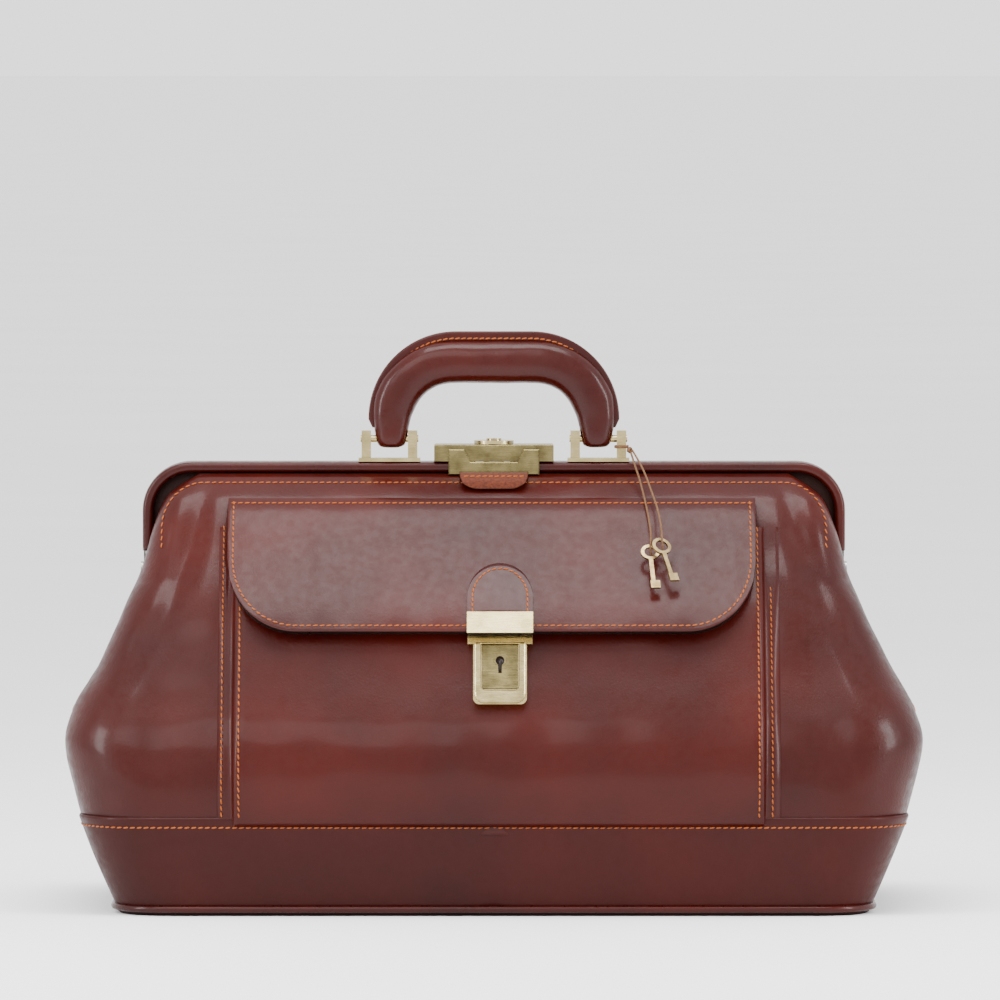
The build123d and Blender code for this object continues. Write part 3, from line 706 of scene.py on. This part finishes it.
band = ring_piece("base_band", band_rows, "bag_body", band_leather,
                  ["band_left", "band_right"], band_shape)
band_skin = tree(band)
sole_rows = [(0.0030, 0.1790, 0.0805, 0.0205), (0.0030, 0.1828, 0.0843, 0.0243),
             (0.0022, 0.1834, 0.0849, 0.0249), (0.0008, 0.1832, 0.0847, 0.0247),
             (0.0000, 0.1822, 0.0837, 0.0237), (0.0000, 0.1700, 0.0715, 0.0120)]
ring_piece("sole_leather_board", sole_rows[::-1], "bag_body", sole_leather,
           ["sole"], capped=True)
piping_path = [(x, y, 0.0034) for x, y in rounded_outline(0.1850, 0.0865, 0.0262, 12, 60)]
tube("lower_piping_bead", piping_path, 0.0017, "bag_body", trim_leather,
     sides=12, replaced=["lower_piping"], up=(0, 0, 1), closed=True)
lining_rows = [(0.0068, 0.1680, 0.0690, 0.020), (0.0066, 0.1790, 0.0805, 0.021),
               (0.0080, 0.1806, 0.0820, 0.022), (0.047, 0.1955, 0.0885, 0.027),
               (0.080, 0.2035, 0.0855, 0.032), (0.097, 0.2000, 0.0810, 0.034)]
ring_piece("lining_cloth_basket", lining_rows, "bag_body", lining_cloth,
           ["lining"], capped=False)

# ---- front pocket ---------------------------------------------------------------------------
POCKET_LEFT, POCKET_RIGHT, POCKET_TOP = -0.1265, 0.1315, 0.1870
pocket_out = smooth_curve([(0.044, 0.0010), (0.052, 0.0060), (0.062, 0.0090), (0.086, 0.0112),
                           (0.104, 0.0121), (0.120, 0.0118), (0.150, 0.0111), (0.163, 0.0098),
                           (0.187, 0.0056)])
PROFILE = [(-0.0075, 0.00), (-0.0035, 0.02), (-0.0012, 0.05), (0.0000, 0.16), (0.0002, 0.45),
           (0.0003, 0.75), (0.0011, 0.93), (0.0030, 1.00)]


def pocket_columns():
    """Places across the pocket, as (x, share of the pocket's stand-off) pairs."""
    left = [(POCKET_LEFT + a, share) for a, share in PROFILE]
    right = [(POCKET_RIGHT - a, share) for a, share in PROFILE[::-1]]
    count = 70
    low, high = left[-1][0], right[0][0]
    middle = [(low + (high - low) * k / count, 1.0) for k in range(1, count)]
    return left + middle + right


columns = pocket_columns()
rows = [0.0440 + (POCKET_TOP - 0.0440) * k / 60 for k in range(61)]
verts = []
for z in rows:
    for x, share in columns:
        wall = -half_depth(z) if 0 < share < 1 else front_y(x, min(z, 0.206))
        crown = 0.0008 * math.sin(math.pi * (x - POCKET_LEFT) / (POCKET_RIGHT - POCKET_LEFT))
        wave = 0.0006 * soft_noise((x, 0, z), 0.05, 9) * share
        stand = 0.0006 + share * (pocket_out(z) - 0.0006 + crown) + wave
        verts.append((x, min(wall, -half_depth(z) + 0.0012) - stand, z))
pocket = make_piece("front_pocket", verts, grid_faces(len(rows), len(columns)), "bag_body",
                    [body_leather, lining_cloth],
                    ["pocket_panel", "pocket_gusset", "pocket_mouth"])
thicken(pocket, 0.0020, inner_material=1)
pocket_skin = tree(pocket)

# ---- flap and its patch ----------------------------------------------------------------------
FLAP_X, FLAP_HALF, FLAP_TOP, FLAP_LOW, FLAP_R = -0.001, 0.129, 0.2010, 0.1385, 0.034
FLAP_THICK, TRIM_THICK, TAB_THICK = 0.0030, 0.0013, 0.0021
flap_out = smooth_curve([(0.136, 0.0222), (0.150, 0.0200), (0.163, 0.0165), (0.187, 0.0106),
                         (0.196, 0.0080), (0.201, 0.0056)])


def flap_bottom(x):
    """Height of the flap's lower edge: straight, with a round corner at each end."""
    over = abs(x - FLAP_X) - (FLAP_HALF - FLAP_R)
    if over <= 0:
        return FLAP_LOW
    return FLAP_LOW + FLAP_R - math.sqrt(max(0.0, FLAP_R ** 2 - min(over, FLAP_R) ** 2))


def flap_y(x, z):
    """Y of the flap's outer face: it follows the pocket, with soft vertical ripples."""
    down = (FLAP_TOP - z) / (FLAP_TOP - FLAP_LOW)
    ripple = soft_noise((x, 0, z * 0.35), 0.017, 4) + 0.6 * soft_noise((x, 0, z * 0.3), 0.008, 8)
    edge = max(0.0, abs(x - FLAP_X) - FLAP_HALF + 0.012) / 0.012
    calm = math.exp(-((x - 0.003) / 0.022) ** 2)
    bow = 0.0014 * ripple * math.sin(math.pi * min(1, max(0, down))) * (1 - calm)
    return -half_depth(z) - flap_out(z) - bow + 0.0010 * edge * edge


verts = []
rows, columns = 46, 150
for r in range(rows):
    for c in range(columns):
        t = 2 * c / (columns - 1) - 1
        x = FLAP_X + FLAP_HALF * math.copysign(abs(t) ** 0.92, t) if t else FLAP_X
        z = FLAP_TOP + (flap_bottom(x) - FLAP_TOP) * r / (rows - 1)
        verts.append((x, flap_y(x, z), z))
flap = make_piece("pocket_flap", verts, grid_faces(rows, columns, flip=True), "flap",
                  [body_leather, trim_leather, edge_paint_and_keyhole_shade], ["flap"])
thicken_with_rim(flap, FLAP_THICK, inner_material=1)
bevel = flap.modifiers.new("edges", "BEVEL")
bevel.width = 0.0007
bevel.segments = 2
bevel.limit_method = "ANGLE"
bevel.angle_limit = math.radians(50)
finish_mesh(flap)
flap_skin = tree(flap)

PATCH_X, PATCH_HALF, PATCH_LOW, PATCH_TOP = 0.003, 0.0160, 0.1470, 0.1705
PATCH_PROUD = 0.0014


def patch_top(x):
    """Height of the patch's arched top edge at a place across it."""
    return PATCH_TOP - PATCH_HALF + math.sqrt(max(0.0, PATCH_HALF ** 2 - x * x))


verts = []
rows, columns = 16, 33
for r in range(rows):
    for c in range(columns):
        x = PATCH_HALF * math.sin(math.pi / 2 * (2 * c / (columns - 1) - 1))
        z = PATCH_LOW + (patch_top(x) - PATCH_LOW) * r / (rows - 1)
        spot = from_front(flap_skin, PATCH_X + x, z)
        verts.append((PATCH_X + x, spot.y - PATCH_PROUD, z))
patch = make_piece("lock_patch_leather", verts, grid_faces(rows, columns), "flap",
                   [trim_leather, trim_leather, edge_paint_and_keyhole_shade], ["lock_patch"])
thicken_with_rim(patch, TRIM_THICK)
finish_mesh(patch)
patch_skin = tree(patch)

low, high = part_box("flap_strip")
verts = []
for r in range(8):
    z = high[2] + (low[2] - high[2]) * r / 7
    for c in range(60):
        x = low[0] + (high[0] - low[0]) * c / 59
        verts.append((x, -half_depth(z) - 0.0021, z))
strip = make_piece("flap_root_strip", verts, grid_faces(8, 60, flip=True), "flap_root",
                   trim_leather, ["flap_strip"])
thicken(strip, TRIM_THICK)

# ---- mouth frame ----------------------------------------------------------------------------
low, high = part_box("front_frame_cover")
FRAME_TUBE = 0.0054
frame_half = high[0] - FRAME_TUBE / 2
frame_top = high[2] - FRAME_TUBE / 2
frame_low = low[2]
ARCH_R = 0.0213


def arch_path(half_w, top, radius, low_end, steps=14, straight=40):
    """Points of an arch in X and Z, from the left leg's foot over the top to the right one."""
    left = [(-half_w, low_end + (top - radius - low_end) * k / 10) for k in range(10)]
    for k in range(steps + 1):
        t = math.radians(180 - 90 * k / steps)
        left.append((-half_w + radius + radius * math.cos(t), top - radius + radius * math.sin(t)))
    span = half_w - radius
    flat = [(-span + 2 * span * k / straight, top) for k in range(1, straight)]
    return left + flat + [(-x, z) for x, z in left[::-1]]


def sweep_arch(name, path, profile, y_mid, body, material, replaced=()):
    """Sweeps a closed profile of (outward, y) points along an arch."""
    verts = []
    count = len(path)
    for i, (x, z) in enumerate(path):
        a, b = path[max(i - 1, 0)], path[min(i + 1, count - 1)]
        tx, tz = b[0] - a[0], b[1] - a[1]
        size = math.hypot(tx, tz)
        nx, nz = -tz / size, tx / size
        for out, y in profile(i / (count - 1)):
            verts.append((x + nx * out, y_mid + y, z + nz * out))
    around = len(profile(0))
    faces = grid_faces(count, around, wrap=True)
    faces.append(list(range(around))[::-1])
    faces.append([(count - 1) * around + k for k in range(around)])
    return make_piece(name, verts, faces, body, material, replaced)


def soft_box(half_out, half_y, power, count=28):
    """A closed rounded-square profile as (outward, y) points."""
    points = []
    for k in range(count):
        t = 2 * math.pi * k / count
        c, s = math.cos(t), math.sin(t)
        points.append((half_out * math.copysign(abs(c) ** power, c),
                       half_y * math.copysign(abs(s) ** power, s)))
    return points


for word, side in (("front", -1), ("back", 1)):
    low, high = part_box(f"{word}_frame_cover")
    middle = (low[1] + high[1]) / 2
    depth = (high[1] - low[1]) / 2
    path = arch_path(frame_half, frame_top, ARCH_R, frame_low)
    sweep_arch(f"{word}_frame_leather", path,
               lambda s, d=depth: soft_box(FRAME_TUBE / 2, d, 0.62),
               middle, f"{word}_frame", trim_leather, [f"{word}_frame_cover"])

FACING_DEPTH, FACING_Y = 0.0190, 0.0030
for word, side in (("front", -1), ("back", 1)):
    path = arch_path(frame_half, frame_top, ARCH_R, 0.176, 24)
    verts = []
    for x, z in path:
        away = min(1.0, max(0.0, (abs(x) - 0.120) / 0.03))
        for k in range(7):
            share = k / 6 * (0.35 + 0.65 * away)
            turn = min(1.0, max(0.0, (z - (frame_top - ARCH_R)) / ARCH_R))
            verts.append((x - math.copysign(FACING_DEPTH * share * (1 - 0.45 * turn), x),
                          side * (FACING_Y + 0.0022 * math.sin(math.pi * share)),
                          z - FACING_DEPTH * share * turn))
    facing = make_piece(f"{word}_mouth_facing", verts, grid_faces(len(path), 7), f"{word}_frame",
                        sole_leather)
    thicken(facing, 0.0010)

# ---- pocket lock details ------------------------------------------------------------------------
LOCK_X = 0.003


def plate_ring(name, outline, hole, lean, body, material):
    """A flat ring laid on a leaning face, between two loops of equal length."""
    loops = [(hole, -0.0004, 1), (outline, -0.0004, 1), (outline, 0.0006, 1),
             (outline, 0.0009, 0.96), (hole, 0.0009, 1.03), (hole, 0.0006, 1)]
    middle_x = sum(x for x, _ in outline) / len(outline)
    middle_z = sum(z for _, z in outline) / len(outline)
    verts = []
    for loop, proud, grow in loops:
        for x, z in loop:
            u, w = middle_x + (x - middle_x) * grow, middle_z + (z - middle_z) * grow
            verts.append((u, lean(w) - proud, w))
    count = len(outline)
    faces = []
    for r in range(len(loops)):
        for c in range(count):
            a, b = r * count + c, r * count + (c + 1) % count
            nxt = (r + 1) % len(loops)
            faces.append([a, b, nxt * count + (c + 1) % count, nxt * count + c])
    ring = make_piece(name, verts, faces, body, material)
    ring.data.polygons.foreach_set("use_smooth", [False] * len(ring.data.polygons))
    return ring


def rounded_box(low_x, high_x, low_z, high_z, low_r, high_r, steps=8):
    """Points round a rectangle in X and Z with one radius below and one above."""
    points = []
    for cx, cz, r, start in ((low_x + low_r, low_z + low_r, low_r, 180),
                             (high_x - low_r, low_z + low_r, low_r, 270),
                             (high_x - high_r, high_z - high_r, high_r, 0),
                             (low_x + high_r, high_z - high_r, high_r, 90)):
        for k in range(steps + 1):
            t = math.radians(start + 90 * k / steps)
            points.append((cx + r * math.cos(t), cz + r * math.sin(t)))
    return points


plate_low, plate_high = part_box("release_plate")
core_low, core_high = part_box("key_core")
body_low, body_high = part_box("lock_body")
BEZEL_INSET, PLATE_GAP = 0.0008, 0.0006
bezel_out = rounded_box(body_low.x + BEZEL_INSET, body_high.x - BEZEL_INSET,
                        body_low.z + BEZEL_INSET, plate_high.z + 2 * PLATE_GAP, 0.0045, 0.0006)
bezel_in = rounded_box(plate_low.x - PLATE_GAP, plate_high.x + PLATE_GAP,
                       plate_low.z - PLATE_GAP, plate_high.z + PLATE_GAP, 0.0024, 0.0004)
lock_skin = tree(nodes["lock_body"])
lean_low = from_front(lock_skin, body_low.x + 0.0015, body_low.z + 0.0030)
lean_high = from_front(lock_skin, body_low.x + 0.0015, body_high.z - 0.0026)
lock_lean = (lean_high.y - lean_low.y) / (lean_high.z - lean_low.z)


def lock_face_y(z):
    """Y of the lock body's leaning front at a height."""
    return lean_low.y + lock_lean * (z - lean_low.z)


plate_ring("lock_bezel", bezel_out, bezel_in, lock_face_y, "bag_body",
           bright_brass)
# The keyhole is a near-black plug standing a little proud of the key core: painted shade in place of the
# hole's dark inside.
KEYHOLE_R, SLOT_HALF, SLOT_LOW = 0.0021, 0.0008, 0.0058
KEYHOLE_PROUD, KEYHOLE_DEEP = 0.00015, 0.0006
core_mid_z = (core_low.z + core_high.z) / 2
outline = [(LOCK_X + KEYHOLE_R * math.sin(t), core_mid_z + KEYHOLE_R * math.cos(t))
           for t in [math.radians(-155 + 310 * k / 30) for k in range(31)]]
outline += [(LOCK_X + SLOT_HALF, core_mid_z - SLOT_LOW), (LOCK_X - SLOT_HALF, core_mid_z - SLOT_LOW)]
plate_skin, core_skin = tree(nodes["release_plate"]), tree(nodes["key_core"])
core_front = []
for x, z in outline:
    fronts = [from_front(skin, x, z) for skin in (plate_skin, core_skin)]
    core_front.append(min(spot.y for spot in fronts if spot))
verts = []
for proud in (KEYHOLE_PROUD, -KEYHOLE_DEEP):
    verts += [(x, y - proud, z) for (x, z), y in zip(outline, core_front)]
count = len(outline)
faces = [list(range(count)), list(range(count, 2 * count))[::-1]]
faces += [[k, k + count, (k + 1) % count + count, (k + 1) % count] for k in range(count)]
make_piece("keyhole", verts, faces, "key_core", edge_paint_and_keyhole_shade)

# ---- handle -----------------------------------------------------------------------------------
low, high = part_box("handle_cover")
handle_mid_y = (low[1] + high[1]) / 2
pad_half_y = (high[1] - low[1]) / 2
GRIP_OUT, GRIP_IN = 0.0578, 0.0434
leg_half = (GRIP_OUT - GRIP_IN) / 2
GRIP_TOP_HALF = 0.0106
handle_path = arch_path(0.0506, 0.2668, 0.0300, low[2], 22, 30)


def grip_profile(share):
    """The padded grip: round in section, fuller over the top, wrinkled near its ends."""
    mid = 1 - abs(2 * share - 1)
    full = min(1.0, mid * 3.2)
    grow = leg_half + (GRIP_TOP_HALF - leg_half) * full ** 1.5
    end = 0.80 + 0.20 * min(1.0, mid / 0.05) ** 0.5
    wrinkle = 0.00030 * math.sin(mid * 170) * math.exp(-mid / 0.12)
    return soft_box((grow + wrinkle) * end, pad_half_y * (0.93 + 0.07 * full) * end, 0.80)


grip = sweep_arch("handle_padding", handle_path, grip_profile, handle_mid_y, "handle",
                  trim_leather, ["handle_cover"])


def plump(piece, cap):
    """Remeshes a pad and relaxes it under light cloth pressure, which moves it under 0.1 mm.

    The pad's fullness comes from its profile. No point moves further than the cap.
    """
    remesh = piece.modifiers.new("remesh", "REMESH")
    remesh.mode = "VOXEL"
    remesh.voxel_size = 2.0 * MM
    finish_mesh(piece)
    before = np.array([v.co for v in piece.data.vertices])
    cloth = piece.modifiers.new("cloth", "CLOTH")
    cloth.settings.quality = 4
    cloth.settings.use_pressure = True
    cloth.settings.uniform_pressure_force = 2.0
    cloth.settings.tension_stiffness = 30
    cloth.settings.compression_stiffness = 30
    cloth.settings.bending_stiffness = 2.0
    cloth.settings.effector_weights.gravity = 0
    scene = bpy.context.scene
    for frame_number in range(1, 9):
        scene.frame_set(frame_number)
    finish_mesh(piece)
    after = np.array([v.co for v in piece.data.vertices])
    moved = after - before
    size = np.linalg.norm(moved, axis=1, keepdims=True)
    moved *= np.minimum(1.0, cap / np.maximum(size, 1e-9))
    for v, place in zip(piece.data.vertices, before + moved):
        v.co = place
    scene.frame_set(1)
    smooth = piece.modifiers.new("smooth", "SUBSURF")
    smooth.levels = 1
    finish_mesh(piece)


PLUMP_CAP = 0.0008
plump(grip, PLUMP_CAP)
push(grip, lambda p: 0.00025 * soft_noise(p, 0.010, 2))

low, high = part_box("handle_flange")
FLANGE_ARCH = (0.0592, 0.2793, 0.0405)
flange_path = arch_path(*FLANGE_ARCH, low[2], 26, 30)
flange = sweep_arch("handle_flange_leather", flange_path,
                    lambda s: soft_box(0.0026 * min(1.0, 0.25 + 8 * min(s, 1 - s)), 0.0014, 0.5, 20),
                    (low[1] + high[1]) / 2, "handle",
                    [trim_leather, edge_paint_and_keyhole_shade], ["handle_flange"])
flange.data.update()
for face in flange.data.polygons:
    x, _, z = face.center
    if abs(face.normal.y) < 0.75 and (face.normal.x * x + face.normal.z * (z - 0.235)) > 0:
        face.material_index = 1
flange_skin = tree(flange)

# ---- pull tab ---------------------------------------------------------------------------------
low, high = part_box("pull_tab")
TAB = [(high[1] + 0.0012, high[2] - 0.0006), (high[1] - 0.0030, high[2] - 0.0004),
       (high[1] - 0.0070, high[2] - 0.0020), (high[1] - 0.0100, high[2] - 0.0048),
       (low[1] + 0.0012, low[2] + 0.0002)]
tab_y = smooth_curve([(k / 4, p[0]) for k, p in enumerate(TAB)])
tab_z = smooth_curve([(k / 4, p[1]) for k, p in enumerate(TAB)])
verts = []
rows, columns = 26, 33
tab_half = (high[0] - low[0]) / 2
for r in range(rows):
    s = r / (rows - 1)
    for c in range(columns):
        t = 2 * c / (columns - 1) - 1
        reach = 1 - 0.42 * (1 - math.sqrt(max(0, 1 - max(0, (abs(t) - 0.45) / 0.55) ** 2)))
        u = s * reach
        verts.append((t * tab_half * (1 - 0.05 * u), tab_y(u), tab_z(u)))
tab = make_piece("pull_tab_leather", verts, grid_faces(rows, columns, flip=True), "front_frame",
                 [suede, trim_leather, edge_paint_and_keyhole_shade], ["pull_tab"])
thicken_with_rim(tab, TAB_THICK, inner_material=1)
finish_mesh(tab)
tab_skin = tree(tab)

# ---- stitching ---------------------------------------------------------------------------------
def run(points, count=60):
    """A dense run of points along straight stretches between the given ones."""
    out = []
    for a, b in zip(points, points[1:]):
        for k in range(count):
            out.append(tuple(a[i] + (b[i] - a[i]) * k / count for i in range(3)))
    return out + [tuple(points[-1])]


def on_front(x, z, stand):
    """A point a little in front of the bag at a place, to shoot stitches back from."""
    return (x, -half_depth(min(max(z, 0.041), 0.211)) - stand, z)


FLAP_INSET, FLAP_HEAD_Z = 0.0027, 0.1985
FLAP_RUN_STEPS = 240
left, right = FLAP_X - FLAP_HALF + FLAP_INSET, FLAP_X + FLAP_HALF - FLAP_INSET
low_z, r = FLAP_LOW + FLAP_INSET, FLAP_R - FLAP_INSET
side_len, arc_len, flat = FLAP_HEAD_Z - low_z - r, math.pi * r / 2, right - left - 2 * r
flap_run = []
for k in range(FLAP_RUN_STEPS + 1):
    s = k / FLAP_RUN_STEPS * (2 * side_len + 2 * arc_len + flat)
    if s < side_len:
        x, z = left, FLAP_HEAD_Z - s
    elif s < side_len + arc_len:
        a = (s - side_len) / r
        x, z = left + r - r * math.cos(a), low_z + r - r * math.sin(a)
    elif s < side_len + arc_len + flat:
        x, z = left + r + s - side_len - arc_len, low_z
    elif s < side_len + 2 * arc_len + flat:
        a = (s - side_len - arc_len - flat) / r
        x, z = right - r + r * math.sin(a), low_z + r - r * math.cos(a)
    else:
        x, z = right, low_z + r + s - side_len - 2 * arc_len - flat
    flap_run.append((x, flap_y(x, z), z))
flap_head = [(x, flap_y(x, FLAP_HEAD_Z), FLAP_HEAD_Z)
             for x in np.linspace(flap_run[0][0], flap_run[-1][0], 90)]
stitches("flap_stitching", [flap_run, flap_head], flap_skin, TO_BACK, "flap", thread)

PATCH_INSET, PATCH_FOOT = 0.0026, 0.1485
patch_r = PATCH_HALF - PATCH_INSET
patch_run = []
for k in range(61):
    a = math.pi * k / 60
    x, z = -patch_r * math.cos(a), PATCH_TOP - PATCH_HALF + patch_r * math.sin(a)
    patch_run.append((PATCH_X + x, -half_depth(z) - flap_out(z), z))
ends = [(PATCH_X + s * patch_r, -half_depth(0.150) - flap_out(0.150), PATCH_FOOT)
        for s in (-1, 1)]
stitches("patch_stitching", [[ends[0]] + patch_run + [ends[1]]], patch_skin, TO_BACK, "flap",
         thread, pitch=2.9 * MM)

# each seam pair: name, x of the left and right seam, then (z, stand-off) down the seam
POCKET_SEAMS = [
    ("pocket_stitching", (POCKET_LEFT + 0.0030, POCKET_RIGHT - 0.0030),
     ((0.186, 0.012), (0.120, 0.012), (0.050, 0.010))),
    ("pocket_side_stitching", (POCKET_LEFT - 0.0055, POCKET_RIGHT + 0.0035),
     ((0.195, 0.004), (0.120, 0.004), (0.050, 0.004))),
]
for name, places, stations in POCKET_SEAMS:
    runs = [run([on_front(x, z, stand) for z, stand in stations]) for x in places]
    follow_mouth(stitches(name, runs, pocket_skin, TO_BACK, "bag_body", thread))

frame_run = [(x * 0.955, z - 0.0072) for x, z in arch_path(frame_half, frame_top, ARCH_R, 0.185)]
for side, skin, word in ((-1, front_skin, "front"), (1, back_skin, "back")):
    line_points = [(x, side * 0.03, min(z, 0.2085)) for x, z in frame_run]
    sewn = stitches(f"{word}_mouth_stitching", [line_points], skin, (0, -side, 0), "bag_body", thread)
    follow_mouth(sewn)

BAND_STITCH_Z, BAND_HALF_W, BAND_HALF_D, BAND_R = 0.0437, 0.2010, 0.094, 0.030
BAND_FLAT = 0.107
band_path = [(x, y, BAND_STITCH_Z)
             for x, y in rounded_outline(BAND_HALF_W, BAND_HALF_D, BAND_R, 16, 60)]


def ring_stitches(name, path, skin, body, material):
    """Stitches round the bag, each laid from outside straight towards its middle."""
    quarters = {(0, 1, 0): [], (0, -1, 0): [], (1, 0, 0): [], (-1, 0, 0): []}
    for ray in quarters:
        piece_run = []
        for p in path + path[:1]:
            from_middle = abs(p[1]) / BAND_HALF_D
            past_square = (abs(p[0]) - BAND_FLAT) / BAND_HALF_D
            axis = 1 if from_middle >= past_square else 0
            if ray[axis] and ray[axis] * p[axis] < 0 and not ray[1 - axis]:
                piece_run.append(p)
            elif piece_run:
                quarters[ray].append(piece_run)
                piece_run = []
        if piece_run:
            quarters[ray].append(piece_run)
    for number, (ray, runs) in enumerate(quarters.items()):
        runs = [r for r in runs if len(r) > 1]
        if runs:
            stitches(f"{name}_{number + 1}", runs, skin, ray, body, material)


ring_stitches("band_stitching", band_path, band_skin, "bag_body", thread)

for side, word in ((-1, "left"), (1, "right")):
    top_run = [(side * 0.215, y, 0.0975) for y in np.linspace(-0.050, 0.050, 60)]
    stitches(f"side_top_stitching_{word}", [top_run], side_skins[side], (-side, 0, 0), "bag_body",
             thread)

for side in (-1, 1):
    points = [(x * 0.985, handle_mid_y + side * 0.02, z - 0.0010)
              for x, z in arch_path(*FLANGE_ARCH, 0.2440, 26, 30)]
    stitches(f"handle_stitching_{'front' if side < 0 else 'back'}", [points], flange_skin,
             (0, -side, 0), "handle", thread, pitch=3.0 * MM)
tab_run = [(x, -0.030, tab_z(0.62) + 0.0010) for x in np.linspace(-tab_half * 0.8, tab_half * 0.8, 30)]
stitches("tab_stitching", [tab_run], tab_skin, TO_BACK, "front_frame", thread, pitch=3.0 * MM)

follow_mouth(front_shell)
follow_mouth(back_shell)
follow_mouth(pocket)
bend(flap)

# ---- floor and light ------------------------------------------------------------------------------
floor_mat, floor_tree, floor_shader = new_material("floor_white", (0.92, 0.92, 0.92), 0.9)
cloud = texture(floor_tree, "ShaderNodeTexNoise", 3, 2)
blend_colors(floor_tree, cloud.outputs["Fac"], [(0.3, (0.90, 0.90, 0.90)), (0.7, (0.93, 0.93, 0.93))],
             floor_shader.inputs["Base Color"])
floor_mesh = bpy.data.meshes.new("floor")
floor_mesh.from_pydata([(-90, -12, 0), (90, -12, 0), (90, 220, 0), (-90, 220, 0)], [], [[0, 1, 2, 3]])
floor = bpy.data.objects.new("floor", floor_mesh)
floor_mesh.materials.append(floor_mat)
bpy.context.scene.collection.objects.link(floor)

world = bpy.data.worlds.new("studio")
world.use_nodes = True
backdrop = world.node_tree.nodes["Background"]
backdrop.inputs["Color"].default_value = (1, 1, 1, 1)
backdrop.inputs["Strength"].default_value = 1.9
bpy.context.scene.world = world


def area_light(name, place, target, size_x, size_y, power):
    """A soft rectangular studio light aimed at a point."""
    data = bpy.data.lights.new(name, "AREA")
    data.shape = "RECTANGLE"
    data.size, data.size_y, data.energy = size_x, size_y, power
    light = bpy.data.objects.new(name, data)
    light.location = place
    light.rotation_euler = (Vector(target) - Vector(place)).to_track_quat("-Z", "Y").to_euler()
    bpy.context.scene.collection.objects.link(light)


area_light("top_box", (0.0, -0.35, 1.45), (0, 0, 0.15), 1.1, 0.7, 26)
area_light("left_box", (-1.35, -0.75, 0.65), (0, 0, 0.13), 0.35, 1.0, 22)
area_light("right_box", (1.35, -0.65, 0.65), (0, 0, 0.13), 0.35, 1.0, 22)
area_light("front_box", (-0.6, -1.7, 1.35), (0, 0, 0.12), 1.4, 0.8, 16)
